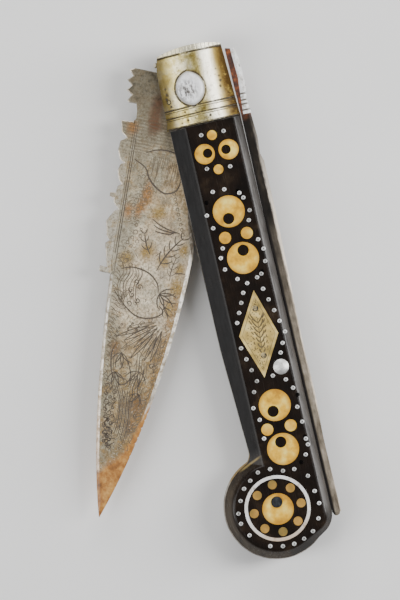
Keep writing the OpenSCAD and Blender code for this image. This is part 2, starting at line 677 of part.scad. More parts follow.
module back_spring() color("#5d5047") translate([0, 0, mid_z]) difference() {
    union() {
        intersection() {
            translate([0, 0, -spring_half]) linear_extrude(spring_w) spring_outline();
            along_x(-spring_head - 1, spring_end + 1) spring_section();
        }
        translate([0, 0, -lug_half]) linear_extrude(2 * lug_half) {
            translate(spring_rivet_at) circle(lug_r);
            translate([spring_rivet_at[0] - lug_r, spring_rivet_at[1]])
                square([2 * lug_r, spring_in + 1 - spring_rivet_at[1]]);
        }
        translate([spring_end - 0.1, spring_in + tail_lip_r + 0.1, 1 - spring_half])
            cylinder(h = spring_w - 2, r = tail_lip_r);
    }
    translate([each spring_rivet_at, -slot_half - 1])
        cylinder(h = 2 * slot_half + 2, r = spring_rivet_r + running_fit);
    translate([lock_bar - spring_head, back_y - 5, -slot_half]) cube([window_l, 15, 2 * slot_half]);
    for (p = cap_rivet_at) translate([p[0], back_y - 5, p[1]]) rotate([-90, 0, 0])
        cylinder(h = 15, r = cap_rivet_r + seat_fit);
}

// Silver cap on the spring's head: a low dome, then a moulded collar. Its slot lets the teeth through.
module spring_cap() color("#d5d3cd") translate([0, 0, mid_z]) {
    round_r = 6.9;
    difference() {
        intersection() {
            translate([0, 0, -spring_half]) linear_extrude(spring_w) difference() {
                polygon(concat(
                    [for (p = head_seat) [p[0], back_y + p[1] + seat_fit]],
                    [[cap_end, cap_crown - 0.6], [cap_end - 1.4, cap_crown - 0.5], [cap_end - 3, cap_crown - 0.8],
                        [dome_end, cap_crown - 0.9], [4, cap_crown - 0.3], [1, cap_crown], [-3, cap_crown],
                        [-7, cap_crown - 0.4], [-10, cap_crown - 0.9], [-spring_head + 0.7, cap_crown - 1.4]]
                ));
                for (x = [dome_end, 9, 10.6, cap_end - 1.6]) translate([x, cap_crown - 0.9]) circle(0.4, $fn = 24);
            }
            along_x(-spring_head - 1, cap_end + 1) intersection() {
                translate([back_y, -spring_half]) square([10, spring_w]);
                translate([cap_crown - round_r, 0]) circle(round_r);
            }
        }
        translate([-spring_head - 1, back_y - 5, -slot_half]) cube([window_l + lock_bar + 1, 15, 2 * slot_half]);
        for (p = cap_rivet_at) translate([p[0], back_y - 5, p[1]]) rotate([-90, 0, 0])
            cylinder(h = 15, r = cap_rivet_r + seat_fit);
    }
}

module cap_rivets() color("#bdbab2") translate([0, 0, mid_z])
    for (p = cap_rivet_at) {
        foot = back_y + 0.4;
        top = back_y + (p[1] == 0 ? 4.4 : 4.3);
        translate([p[0], foot, p[1]]) rotate([-90, 0, 0]) cylinder(h = top - foot, r = cap_rivet_r);
    }

// Bone inlays and their fillings, standing on the floors of their seats
module bone(r) translate([0, 0, face_top - bone_d]) cylinder(h = bone_d + bone_proud, r = r);

module eye_discs() color("#dcb469") {
    for (e = eyes) translate(e[0]) difference() {
        bone(e[1]);
        translate([each e[2], face_top - bone_d - 1]) cylinder(h = bone_d + 3, r = e[3]);
    }
    difference() {
        translate(pommel_eye_at) bone(pommel_eye_r);
        translate([each pommel_rivet_at, face_top - bone_d - 1]) cylinder(h = bone_d + 3, r = pommel_rivet_head);
    }
}

module pupil_plugs() color("#15100d")
    for (e = eyes) translate([each (e[0] + e[2]), face_top - bone_d])
        cylinder(h = bone_d - 0.1, r = e[3] - seat_fit);

module bone_dots() color("#dcb469") for (d = dots) translate(d[0]) bone(d[1]);

module pommel_dots() color("#a9793f")
    for (i = [0:ring_dots - 1])
        translate(pommel_at + polar(ring_dots_r, i * 360 / ring_dots)) bone(ring_dot_size);

module pommel_ring() color("#dcdad4") translate([each pommel_at, face_top - ring_depth]) difference() {
    cylinder(h = ring_depth + bone_proud, r = ring_r, $fn = 96);
    translate([0, 0, -1]) cylinder(h = ring_depth + 3, r = ring_r - ring_band, $fn = 96);
}

module lozenge() color("#c9be93") difference() {
    translate([each lozenge_at, face_top - bone_d])
        linear_extrude(bone_d + bone_proud) polygon(lozenge_corners);
    for (p = lozenge_pin_at) translate([each p, face_top - bone_d - 1])
        cylinder(h = bone_d + 3, r = lozenge_pin_r + seat_fit);
}

module lozenge_pins() color("#8b8378")
    for (p = lozenge_pin_at) translate([each p, face_top - pin_d])
        cylinder(h = pin_d + bone_proud, r = lozenge_pin_r);

module steel_pins() color("#c8c8c6")
    for (p = steel_pin_at) translate([each p, face_top - pin_d])
        cylinder(h = pin_d + pin_proud, r = pin_r, $fn = 24);

blade();
back_spring();
spring_cap();
cap_rivets();
on_front() liner();  // liner_front
on_reverse() liner();  // liner_reverse
on_front() horn_scale();  // scale_front
on_reverse() horn_scale();  // scale_reverse
on_front() bolster();  // bolster_front
on_reverse() {  // bolster_reverse
    bolster();
    bolster_nub();
}
color("#9c8448") {  // bolster_pins
    on_front() bolster_pin();
    on_reverse() bolster_pin();
}
pivot_pin();
on_front() rivet_cap();  // rivet_cap_front
on_reverse() rivet_cap();  // rivet_cap_reverse
spring_rivet();
pommel_rivet();
pommel_spacer();
on_front() eye_discs();  // eyes_front
on_reverse() eye_discs();  // eyes_reverse
on_front() pupil_plugs();  // pupils_front
on_reverse() pupil_plugs();  // pupils_reverse
on_front() bone_dots();  // bone_dots_front
on_reverse() bone_dots();  // bone_dots_reverse
on_front() pommel_dots();  // pommel_dots_front
on_reverse() pommel_dots();  // pommel_dots_reverse
on_front() pommel_ring();  // pommel_ring_front
on_reverse() pommel_ring();  // pommel_ring_reverse
on_front() lozenge();  // lozenge_front
on_reverse() lozenge();  // lozenge_reverse
on_front() lozenge_pins();  // lozenge_pins_front
on_reverse() lozenge_pins();  // lozenge_pins_reverse
on_front() steel_pins();  // steel_pins_front
on_reverse() steel_pins();  // steel_pins_reverse
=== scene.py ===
import json
import math
import random

import bpy
from mathutils import Matrix, Vector

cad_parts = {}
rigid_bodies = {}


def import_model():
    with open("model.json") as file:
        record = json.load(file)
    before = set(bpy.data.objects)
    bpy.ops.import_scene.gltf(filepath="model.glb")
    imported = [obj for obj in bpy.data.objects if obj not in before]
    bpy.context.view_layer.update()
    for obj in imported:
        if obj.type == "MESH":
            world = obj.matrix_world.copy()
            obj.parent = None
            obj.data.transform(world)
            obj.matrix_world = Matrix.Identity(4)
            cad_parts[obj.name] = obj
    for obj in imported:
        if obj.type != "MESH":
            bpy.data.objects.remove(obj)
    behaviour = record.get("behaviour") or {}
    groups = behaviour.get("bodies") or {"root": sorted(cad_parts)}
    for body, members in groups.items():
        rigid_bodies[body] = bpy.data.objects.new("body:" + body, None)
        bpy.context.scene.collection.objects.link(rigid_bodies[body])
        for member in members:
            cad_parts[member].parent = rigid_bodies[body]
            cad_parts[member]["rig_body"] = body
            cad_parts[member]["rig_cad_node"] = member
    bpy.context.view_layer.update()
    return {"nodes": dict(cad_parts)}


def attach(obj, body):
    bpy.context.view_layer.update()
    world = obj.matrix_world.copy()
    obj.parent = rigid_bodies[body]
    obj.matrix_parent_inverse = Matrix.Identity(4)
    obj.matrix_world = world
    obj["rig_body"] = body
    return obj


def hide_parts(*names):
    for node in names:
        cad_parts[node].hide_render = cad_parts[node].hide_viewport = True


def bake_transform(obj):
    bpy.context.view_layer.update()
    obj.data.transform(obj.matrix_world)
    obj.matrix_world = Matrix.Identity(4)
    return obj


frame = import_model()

mm = 0.001
nodes = frame["nodes"]
sides = ("front", "reverse")
bladeMid = 0.0116    # height of the blade's middle plane
turnDegrees = 25.1   # the half-open blade lies this far below the handle's line
handleTurn = math.radians(turnDegrees)


def setMode(mode):
    bpy.ops.object.mode_set(mode=mode)


def deselectAll():
    if bpy.context.object and bpy.context.object.mode != "OBJECT":
        setMode("OBJECT")
    bpy.ops.object.select_all(action="DESELECT")


def takeUp(piece):
    # makes one piece the only selected one
    deselectAll()
    piece.select_set(True)
    bpy.context.view_layer.objects.active = piece


def newObject(name, data):
    # puts a new object into the scene
    thing = bpy.data.objects.new(name, data)
    bpy.context.scene.collection.objects.link(thing)
    return thing


# Camera: straight down on the front side, with the image's up along the handle towards the pivot
shot = {
    "centre": (0.0832, -0.0152),
    "face": 0.018,        # height of the knife's upper face
    "covers": 0.240,      # metres in the picture's height, at that face
    "distance": 1.6,      # and how far the camera is from it
    "sensor": 24,
    "imageUp": (-0.97437, 0.22495, 0),
}


def makeCamera():
    data = bpy.data.cameras.new("studioCamera")
    camera = newObject("studioCamera", data)
    back = Vector((0, 0, 1))
    up = Vector(shot["imageUp"]).normalized()
    turned = Matrix((up.cross(back), up, back)).transposed().to_4x4()
    camera.matrix_world = Matrix.Translation((*shot["centre"], shot["distance"] + shot["face"])) @ turned
    data.sensor_fit = "VERTICAL"
    data.sensor_height = shot["sensor"]
    data.lens = shot["sensor"] * shot["distance"] / shot["covers"]
    data.clip_end = 20
    bpy.context.scene.camera = camera


makeCamera()
print("camera set")


# Materials, in which all places, sizes and distances are in mm

making = {}   # the material that is being made, its nodes, and the place on the piece without its height


def srgb(code):
    # sRGB hex to the linear colour that Blender works in
    parts = [int(code[i:i + 2], 16) / 255 for i in (1, 3, 5)]
    return [c / 12.92 if c <= 0.04045 else ((c + 0.055) / 1.055) ** 2.4 for c in parts] + [1.0]


def fill(node, inputs):
    # links a node's inputs to what other nodes give, or sets them to values or hex colours
    for name, value in inputs.items():
        if isinstance(value, bpy.types.NodeSocket):
            making["tree"].links.new(value, node.inputs[name])
        else:
            node.inputs[name].default_value = srgb(value) if isinstance(value, str) else value


def addNode(kind, inputs=None, **settings):
    # adds one shader node to the material, sets its options and fills its inputs
    node = making["tree"].nodes.new("ShaderNode" + kind)
    for name, value in settings.items():
        setattr(node, name, value)
    fill(node, inputs or {})
    return node


def startMaterial(name):
    # begins a material, to which the helpers below add nodes, and gives the place on the piece
    making["material"] = bpy.data.materials.new(name)
    making["material"].use_nodes = True
    making["tree"] = making["material"].node_tree
    metres = addNode("TexCoord").outputs["Object"]
    place = addNode("VectorMath", {0: metres, "Scale": 1 / mm}, operation="SCALE").outputs[0]
    making["flat"] = addNode("VectorMath", {0: place, 1: (1, 1, 0)}, operation="MULTIPLY").outputs[0]
    return place


def endMaterial(colour, metallic, rough, height=None, depth=0, strength=1, more=None):
    # fills the material's shader: colour, metal, roughness, and relief of a depth
    inputs = {"Base Color": colour, "Metallic": metallic, "Roughness": rough}
    if height:
        relief = {"Height": height, "Distance": depth * mm, "Strength": strength}
        inputs["Normal"] = addNode("Bump", relief).outputs[0]
    inputs.update(more or {})
    fill(making["tree"].nodes["Principled BSDF"], inputs)
    return making["material"]


def noise(place, size, detail, rough=0.55, stretch=(1, 1, 1), shift=(0, 0, 0)):
    # clouds that are about size across, drawn out along the piece if asked
    moved = addNode("Mapping", {"Vector": place, "Scale": stretch, "Location": shift}).outputs[0]
    inputs = {"Vector": moved, "Scale": 1 / size, "Detail": detail, "Roughness": rough}
    return addNode("TexNoise", inputs).outputs["Fac"]


def wave(place, length, detail, axis):
    # wavering bands across an axis, which Blender draws 0.314 apart at scale 1
    inputs = {"Vector": place, "Scale": 0.314 / length, "Distortion": 3, "Detail": detail}
    return addNode("TexWave", inputs, bands_direction=axis).outputs["Fac"]


def ramp(value, *stops):
    # colours or greys set along a value
    node = addNode("ValToRGB", {"Fac": value})
    elements = node.color_ramp.elements
    while len(elements) < len(stops):
        elements.new(0.5)
    for element, (place, shade) in zip(elements, stops):
        element.position = place
        element.color = srgb(shade) if isinstance(shade, str) else (shade, shade, shade, 1)
    return node.outputs["Color"]


def ranged(value, low, high):
    # 0 at low, 1 at high, held past both
    return addNode("MapRange", {"Value": value, "From Min": low, "From Max": high}).outputs["Result"]


def mix(share, low, high):
    # a colour mix takes its colours in inputs 6 and 7 and gives the mixed one as its third output
    return addNode("Mix", {0: share, 6: low, 7: high}, data_type="RGBA").outputs[2]


def joiner(operation):
    # gives a function that joins values by one operation, from the first to the last
    def join(value, *others):
        for other in others:
            value = addNode("Math", {0: value, 1: other}, operation=operation).outputs[0]
        return value
    return join


times = joiner("MULTIPLY")
divided = joiner("DIVIDE")
plus = joiner("ADD")
minus = joiner("SUBTRACT")
largest = joiner("MAXIMUM")
smallest = joiner("MINIMUM")


def gap(value, other):
    # how far two values are apart
    return addNode("Math", {0: minus(value, other)}, operation="ABSOLUTE").outputs[0]


def squared(value, start):
    # square of the distance past a place
    past = minus(value, start)
    return times(past, past)


def tint(base, colour, *shares):
    # lays a colour over the base by the product of the shares
    return mix(times(*shares), base, colour)


def axesOf(place):
    return list(addNode("SeparateXYZ", {"Vector": place}).outputs)


def farFrom(x, y):
    # distance from the upright line through x and y
    return addNode("VectorMath", {0: making["flat"], 1: (x, y, 0)}, operation="DISTANCE").outputs["Value"]


def ovalReach():
    # how far out a point lies from the pivot's oval cap: the farther of its two arcs' centres
    return largest(farFrom(0, 1.3), farFrom(0, -1.3))


def bladeAxes(place):
    # the blade's own axes: along it from the pivot, and from its spine to its edge
    turned = addNode("Mapping", {"Vector": place, "Rotation": (0, 0, handleTurn)}).outputs[0]
    return turned, *axesOf(turned)[:2]


# Crest on the blade's back, along the blade from the pivot and across it with the spine's side below zero
crest = {
    "start": (17, -19.4),   # where the line begins on which the crest steps down
    "slope": 0.048,
    "end": 79,
}

# Stains on the blade's face, by colour: along it, across it, and how far each reaches along and across
bladeStains = {
    "#9d6a2e": [(45, -8, 6, 2.2), (51, -10, 4, 2), (53, -14, 3, 2), (20, -19.5, 3, 2.5)],
    "#96772f": [(72, -11, 4, 3), (70, 4, 3, 3), (79, 11, 4, 3), (88, 10, 4, 2), (67, -3, 4, 3.5),
                (51, -2, 3, 3.5), (64, 11, 3, 2), (72, 11, 3, 2)],
    "#74512a": [(129, 5.5, 5, 3.5), (137, 4.5, 4, 2.5), (108, -8, 4, 2.5), (33, 5, 3, 3)],
    "#5f3519": [(12, -11.4, 9, 2.8), (17.5, -10.5, 3, 3)],
}


def tipRust(turned, along, across):
    # share of solid rust: all of the tip, and a tongue that runs up along the edge
    tongue = plus(along, minus(times(across, 3.4), 10.5))
    reach = plus(largest(plus(along, across), tongue), times(noise(turned, 5, 5), 8))
    return ranged(reach, 155.5, 159)


def rustColour(turned):
    return ramp(noise(turned, 4, 7, 0.7), (0.34, "#6d441c"), (0.48, "#a06a2c"), (0.64, "#c4954f"))


def steelFace(turned, along, across, mottle, late):
    # the mottled face: paler where it is rubbed, dull and green towards the tip, greyest along the spine
    base = ramp(mottle, (0.38, "#8a7250"), (0.5, "#c6ad85"), (0.6, "#e6d7b6"))
    base = tint(base, "#f0e6d2", ranged(along, 48, 64), ranged(along, 104, 92), 0.4)
    base = tint(base, "#857852", late, 0.5)
    spineward = minus(across, times(squared(along, crest["end"]), 0.0023))
    patchy = noise(turned, 8, 8, 0.7, shift=(300, 0, 0))
    grey = plus(ranged(spineward, -6, -13), ranged(patchy, 0.4, 0.6))
    base = tint(base, "#898776", ranged(grey, 0.5, 1.3), 0.7)
    # the crest is paler than the blade below it, most of all near its spurs
    above = minus(across, times(along, crest["slope"]))
    return tint(base, "#dfd9cd", ranged(above, -19.7, -20.1), ranged(along, 26, 46), 0.25)


def stained(base, turned, ragged):
    for colour, stains in bladeStains.items():
        for x, y, long, wide in stains:
            # distance in the stain's own stretched measure
            away = addNode("Mapping", {"Vector": turned, "Location": (-x / long, -y / wide, 0),
                                       "Scale": (1 / long, 1 / wide, 0)}).outputs[0]
            away = addNode("VectorMath", {0: away}, operation="LENGTH").outputs["Value"]
            base = tint(base, colour, ranged(plus(away, times(ragged, 1.6)), 2.1, 1.2), 0.8)
    return base


def specked(base, turned, along):
    # dark specks and bright glints all over, and black scale left in the tang's hollows
    speck = ramp(noise(turned, 0.9, 5, 0.8), (0.47, 0), (0.6, 0.65))
    base = mix(speck, base, "#56482f")
    glint = ramp(noise(turned, 0.8, 4, 0.75, shift=(500, 500, 0)), (0.57, 0), (0.68, 0.5))
    base = tint(base, "#ece5d2", glint, ranged(along, 15, 40))
    scale = ramp(noise(turned, 3.5, 7, 0.75, shift=(0, 0, 400)), (0.5, 0), (0.6, 0.6))
    return tint(base, "#2f2a22", scale, ranged(along, 15, 5))


def steelBlade():
    # Forged iron blade, once polished, now grey-brown with rust that has been wiped back
    place = startMaterial("forgedSteelOldPolish")
    turned, along, across = bladeAxes(place)
    mottle = noise(turned, 6, 9, 0.78)
    late = ranged(along, 98, 122)
    base = steelFace(turned, along, across, mottle, late)
    # golden brown along the edge past the heel
    ragged = noise(turned, 2.5, 8, 0.75)
    edgeward = plus(across, times(squared(along, 70), 0.00117), times(ragged, 24))
    golden = times(ranged(edgeward, 21.5, 25), ranged(along, 64, 84))
    base = tint(base, "#86622a", golden, 0.85)
    ochre = ramp(noise(turned, 5, 9, 0.8, shift=(0, 200, 100)), (0.53, 0), (0.6, 0.55))
    base = mix(ochre, base, "#9c7a40")
    cloud = ranged(noise(turned, 7, 8, 0.75, shift=(700, 0, 300)), 0.46, 0.58)
    base = tint(base, "#8b6628", cloud, late, 0.6)
    # the tang lies in the dark of the bolsters and keeps its grime
    base = tint(base, "#5a5444", ranged(along, 30, 6), 0.7)
    base = specked(stained(base, turned, ragged), turned, along)
    # cross ripples that the file left by the tang
    ripples = wave(turned, 1.3, 3, "X")
    base = tint(base, "#554b3c", ranged(along, 34, 24), ranged(along, 10, 16), ripples, 0.5)
    rusted = tipRust(turned, along, across)
    base = mix(rusted, base, rustColour(turned))
    metal = times(ranged(largest(golden, rusted), 0.35, 0), 0.35)
    fine = noise(turned, 1.1, 6, 0.7, stretch=(1, 0.5, 1))
    rough = ramp(fine, (0.3, 0.4), (0.7, 0.58))
    return endMaterial(base, metal, rough, plus(fine, times(mottle, 0.8)), 0.15, 0.8)


def steelGround():
    # Bevels that the stone keeps bright: near white steel, scratched along, and rusty only at the tip
    place = startMaterial("groundSteelBright")
    turned, along, across = bladeAxes(place)
    scratch = noise(turned, 1.2, 5, 0.7, stretch=(0.15, 1, 1))
    base = ramp(scratch, (0.3, "#b3aa9a"), (0.5, "#e4ddd0"), (0.7, "#fbf8f2"))
    dull = ramp(noise(turned, 2.5, 7, 0.75), (0.46, 0), (0.58, 0.85))
    base = mix(dull, base, "#8c7d64")
    # the crest's rim is duller than the edge's bevel, and so is the outer half of the spine's
    rim = times(ranged(across, -15.2, -15.8), ranged(along, crest["end"], crest["end"] - 2))
    base = tint(base, "#8c7d64", rim, 0.45)
    height = gap(axesOf(place)[2], bladeMid / mm)
    taper = minus(1, times(squared(along, crest["end"]), 0.000065))
    outer = ranged(divided(height, taper), 1.2, 1.05)
    base = tint(base, "#6e675a", outer, ranged(across, 0, -1), 0.6)
    fade = largest(tipRust(turned, along, across), times(ranged(along, 118, 150), 0.4))
    base = mix(fade, base, rustColour(turned))
    rough = ramp(scratch, (0.3, 0.3), (0.7, 0.5))
    return endMaterial(base, times(ranged(fade, 0.8, 0), 0.8), rough, scratch, 0.05, 0.4)


def linerIron():
    # Iron liners, worn bright along their rims, painted black by the bolsters as painted shade in the gap
    # there, and gold-brown towards the neck
    place = startMaterial("forgedIronLiner")
    mottle = noise(place, 4, 6, 0.65, stretch=(0.5, 1, 1))
    base = ramp(mottle, (0.34, "#6f675c"), (0.5, "#a39a8e"), (0.66, "#cfc8be"))
    base = tint(base, "#b08f4c", ranged(farFrom(154, -13), 9, 6), 0.8)
    # painted shade: near black where the liner lies in the gap by the bolsters
    base = mix(ranged(axesOf(place)[0], 15, 14.2), base, "#17120f")
    return endMaterial(base, 0.6, ramp(mottle, (0.3, 0.35), (0.7, 0.6)), mottle, 0.1, 0.5)


def patinaIron(name, low, mid, high, size, metallic, rough, depth):
    # Iron with a worn patina: darker in the low places, bright where it is handled
    place = startMaterial(name)
    mottle = noise(place, size, 6, 0.65, stretch=(0.5, 1, 1))
    base = ramp(mottle, (0.32, low), (0.5, mid), (0.68, high))
    fine = noise(place, size * 0.2, 5, 0.7)
    return endMaterial(base, metallic, ramp(fine, (0.3, rough[0]), (0.7, rough[1])), fine, depth, 0.5)


def springIron():
    # Forged spring: brown oil patina that pales towards the tail, painted dark by the horn as painted shade
    # in the gap between them, rubbed bright along its outer edge, and with orange rust at its head
    place = startMaterial("forgedIronSpring")
    along = axesOf(place)[0]
    outward = addNode("Attribute", attribute_name="outward").outputs["Fac"]
    mottle = noise(place, 4, 7, 0.7, stretch=(0.4, 1, 1))
    base = ramp(mottle, (0.34, "#0f0b07"), (0.5, "#1d1710"), (0.66, "#3b3328"))
    pale = ramp(mottle, (0.34, "#5f5547"), (0.5, "#8b8070"), (0.66, "#b5a998"))
    base = mix(ranged(along, 55, 115), base, pale)
    # painted shade: the side by the horn is painted near black, where the gap between spring and horn lies
    base = mix(ranged(outward, 0.24, 0.12), base, "#15100c")
    ragged = times(noise(place, 3, 6, 0.7, stretch=(0.3, 1, 1)), 0.5)
    base = tint(base, "#d3c9ba", ranged(plus(outward, ragged), 0.88, 1), ranged(along, 16, 60), 0.85)
    rust = ramp(noise(place, 2, 6, 0.7), (0.36, "#2a1307"), (0.5, "#53250a"), (0.64, "#8c4b1c"))
    head = ranged(plus(along, times(mottle, 8)), 21, 16)
    base = mix(head, base, rust)
    rough = ramp(mottle, (0.3, 0.4), (0.7, 0.6))
    return endMaterial(base, times(ranged(head, 1, 0), 0.6), rough, mottle, 0.2, 0.6)


# Dirt on the bolsters: each groove's place and half its width, and each dot's place and radius
brassDirt = {
    "grooves": [(-14.3, 0.5), (7.0, 0.42), (7.9, 0.18), (10.1, 0.42), (11.0, 0.18), (14.2, 0.3)],
    "dots": [(9.2, 0.2, 0.45), (8.8, -4.2, 0.4), (12.0, -0.6, 0.5), (12.3, -3.6, 0.5), (12.9, -6.2, 0.4),
             (8.3, 4.2, 0.35), (12.2, 5.4, 0.7), (1.6, 12.0, 0.6), (-2.6, 12.3, 0.5), (-0.6, 12.5, 0.6),
             (-5.5, 11.6, 0.35), (0.4, -9.6, 0.8), (2.2, -10.2, 0.7), (-2.0, -9.8, 0.5), (5.4, -9.0, 0.5)],
}


def dirtOnBrass(place, along, beadOnly):
    # dirt here and there, in grooves and dots, round the rivet's cap and in faint notches of the bead
    dirt = [ramp(noise(place, 0.8, 4, 0.7, shift=(700, 0, 0)), (0.64, 0), (0.74, 0.8))]
    dirt += [ranged(gap(along, x), half, half * 0.35) for x, half in brassDirt["grooves"]]
    dirt += [ranged(farFrom(x, y), radius, radius * 0.5) for x, y, radius in brassDirt["dots"]]
    dirt.append(ranged(gap(ovalReach(), 7.4), 0.5, 0.2))
    dirt.append(times(beadOnly, ranged(wave(place, 1.7, 2, "Y"), 0.8, 1), 0.45))
    broken = ramp(noise(place, 1.6, 5, 0.7), (0.34, 0.25), (0.5, 1))
    return times(largest(*dirt), broken)


def brassWorn():
    # Sheet brass bolster, dark in its grooves and dots, with a painted near-white highlight on its crown and
    # painted shade browning both flanks
    place = startMaterial("brassRubbedWithPaintedLight")
    along, across = axesOf(place)[:2]
    mottle = noise(place, 6, 6, 0.65)
    base = ramp(mottle, (0.34, "#8f7c3e"), (0.48, "#cdbd7c"), (0.62, "#f2e9c2"))
    # painted highlight: a near-white band along the crown
    base = tint(base, "#f6f2e4", ranged(across, 5, 7.5), ranged(across, 12.5, 10), 0.8)
    # painted shade: both flanks turn brown and dark where they slope away from the light
    base = tint(base, "#645026", ranged(across, 9.6, 13.6), 0.9)
    ragged = times(noise(place, 3, 6, 0.7), 6)
    base = tint(base, "#2f200e", ranged(plus(across, ragged), 14, 18), 0.95)
    base = tint(base, "#574828", ranged(minus(across, ragged), -8.5, -12.5), 0.85)
    stain = ramp(noise(place, 2.4, 7, 0.75, shift=(100, 300, 0)), (0.54, 0), (0.66, 0.75))
    base = mix(stain, base, "#7d6a35")
    # the bead is rubbed bright, and the nub below the reverse bolster's head is painted near white and less
    # metallic: a painted highlight where it lies in shade
    beadOnly = ranged(along, -14.5, -14.9)
    base = tint(base, "#ece6cf", beadOnly, 0.6)
    # painted highlight: the nub's mask
    nub = ranged(farFrom(-13.1, -12.4), 1.4, 1)
    base = mix(nub, base, "#fff6e0")
    dirt = dirtOnBrass(place, along, beadOnly)
    base = mix(dirt, base, "#3b2f1a")
    fine = noise(place, 0.9, 5, 0.7)
    rough = ramp(fine, (0.3, 0.28), (0.7, 0.46))
    height = minus(plus(fine, mottle), times(dirt, 1.5))
    return endMaterial(base, ranged(plus(dirt, nub), 1.2, 0), rough, height, 0.12, 0.6)


def silverRivet():
    # The pivot's cap: matt white silver, a grey rolled rim, and dark scratches across its middle
    place = startMaterial("silverPivotCap")
    base = ramp(noise(place, 2, 5, 0.6), (0.34, "#e3e0dc"), (0.5, "#faf9f7"), (0.66, "#ffffff"))
    base = tint(base, "#a9a498", ranged(ovalReach(), 6.3, 6.9), 0.8)
    scratch = ramp(noise(place, 0.9, 6, 0.7, stretch=(0.4, 1, 1)), (0.47, 0), (0.56, 1))
    base = tint(base, "#544e49", scratch, ranged(farFrom(0.6, -1.4), 5.2, 2.2))
    return endMaterial(base, 0.25, 0.5, minus(noise(place, 1.2, 3), scratch), 0.08, 0.5)


def silverCap():
    # The spring's cap: white silver rubbed smooth, with dark dirt in the grooves of its moulding
    place = startMaterial("silverSpringCap")
    along = axesOf(place)[0]
    dents = noise(place, 2.2, 4, 0.6)
    base = ramp(dents, (0.32, "#b5b1a9"), (0.44, "#ebe9e5"), (0.62, "#ffffff"))
    dirt = [ramp(noise(place, 1.4, 6, 0.75, shift=(400, 0, 0)), (0.57, 0), (0.66, 0.8))]
    dirt += [ranged(gap(along, groove), 0.45, 0.2) for groove in (6.4, 9.0, 10.6, 13.0)]
    return endMaterial(mix(largest(*dirt), base, "#5f564a"), 0.55, 0.42, dents, 0.1, 0.6)


def silverRing():
    # Silver strip bent on edge round the pommel: white, and tarnished warm where it faces the tail
    place = startMaterial("silverStripTarnished")
    dents = noise(place, 2.5, 5, 0.65)
    base = ramp(dents, (0.32, "#a89c8a"), (0.44, "#f0ebe2"), (0.62, "#ffffff"))
    tailward = plus(axesOf(place)[0], times(dents, 6))
    base = tint(base, "#c99a5e", ranged(tailward, 178, 188), 0.65)
    return endMaterial(base, 0.5, 0.45, dents, 0.05, 0.6)


def silverHammered():
    # White silver alloy with hammer dents and dark polish left in them
    place = startMaterial("silverHammered")
    dents = noise(place, 1.6, 3, 0.6)
    base = ramp(dents, (0.3, "#8a867e"), (0.42, "#dddbd5"), (0.65, "#f6f5f2"))
    return endMaterial(base, 1, ramp(noise(place, 0.5, 4), (0.3, 0.42), (0.7, 0.6)), dents, 0.18, 0.8)


def pinPlaces(node):
    # the middle and the outer height, in metres, of each small pin in a CAD node
    apart = 1.8 * mm   # corners nearer to each other than this belong to one pin
    groups = []
    for co in (vertex.co for vertex in nodes[node].data.vertices):
        for group in groups:
            if abs(group[0].x - co.x) < apart and abs(group[0].y - co.y) < apart:
                group.append(co)
                break
        else:
            groups.append([co])
    places = []
    for group in groups:
        xs, ys, zs = ([co[axis] for co in group] for axis in range(3))
        top = max(zs) if max(zs) > bladeMid else min(zs)
        places.append(((min(xs) + max(xs)) / 2, (min(ys) + max(ys)) / 2, top))
    return places


def ringedPins(name, node, radius, middle):
    # Pin ends filed flush: the metal shows in the middle, with a dark line of dirt round it
    place = startMaterial(name)
    nearest = smallest(*(farFrom(spot[0] / mm, spot[1] / mm) for spot in pinPlaces(node)))
    base = ramp(noise(place, 0.9, 5, 0.7), (0.36, "#4c4434"), (0.56, middle))
    dirt = ranged(nearest, radius * 0.45, radius * 0.65)
    return endMaterial(mix(dirt, base, "#17130e"), times(ranged(dirt, 1, 0), 0.5), 0.45)


hornShine = 0.22   # how strongly horn mirrors, where 0.5 is glass


def hornStart(name):
    # brown-black horn with faint clouds and fine fibres: its place, colour, roughness and height
    place = startMaterial(name)
    clouds = noise(place, 9, 5, 0.6)
    base = ramp(clouds, (0.3, "#0e0a07"), (0.55, "#1b130d"), (0.75, "#33281d"))
    fibre = noise(place, 0.8, 4, 0.6, stretch=(0.12, 1, 1))
    return place, base, ramp(fibre, (0.3, 0.2), (0.7, 0.3)), plus(fibre, times(clouds, 3))


def hornPlain():
    # Polished black horn of the eyes' pupils
    base, rough, height = hornStart("hornOfThePupils")[1:]
    return endMaterial(base, 0, rough, height, 0.02, 0.3, {"Specular IOR Level": hornShine})


def hornWithPaintedLight():
    # Polished buffalo horn, painted blacker on the belly facet as painted shade, with a painted grey
    # highlight on the bevel along its back and round the pommel, and a painted gold highlight in the crease
    # where the belly facet runs into the pommel
    place, base, rough, height = hornStart("buffaloHornPolished")
    along, across = axesOf(place)[:2]
    # painted shade: the belly facet is painted blacker, with less roughness and shine
    belly = times(ranged(across, -4.5, -6.2), ranged(along, 152, 146))
    base = tint(base, "#030202", belly, 0.85)
    patches = ramp(noise(place, 4, 6, 0.7, stretch=(0.25, 1.5, 1)), (0.36, 0.3), (0.56, 1))
    # painted highlight: a grey band on the bevel along the back
    back = times(ranged(across, 14.3, 14.9), ranged(along, 180, 174), ranged(along, 6, 36))
    base = tint(base, "#6b6865", back, largest(ranged(across, 18, 15), 0.35), patches)
    # painted highlight on the bevel round the pommel
    rim = times(ranged(farFrom(170.7, -4), 17.2, 18.6), ranged(along, 150, 162), ranged(across, 0, -8))
    base = tint(base, "#7a6b55", rim, patches, 0.22)
    # painted highlight: a gold line in the crease where the belly facet meets the pommel
    slant = plus(times(along, 0.912), times(across, 0.41))
    crease = times(ranged(gap(slant, 134), 0.6, 0.1), ranged(across, -5.2, -7.5), ranged(across, -15.8, -13))
    base = tint(base, "#a08a55", crease, 0.75)
    rough = minus(rough, times(belly, 0.1))
    shine = minus(hornShine, times(belly, 0.14))
    return endMaterial(base, 0, rough, height, 0.02, 0.3, {"Specular IOR Level": shine})


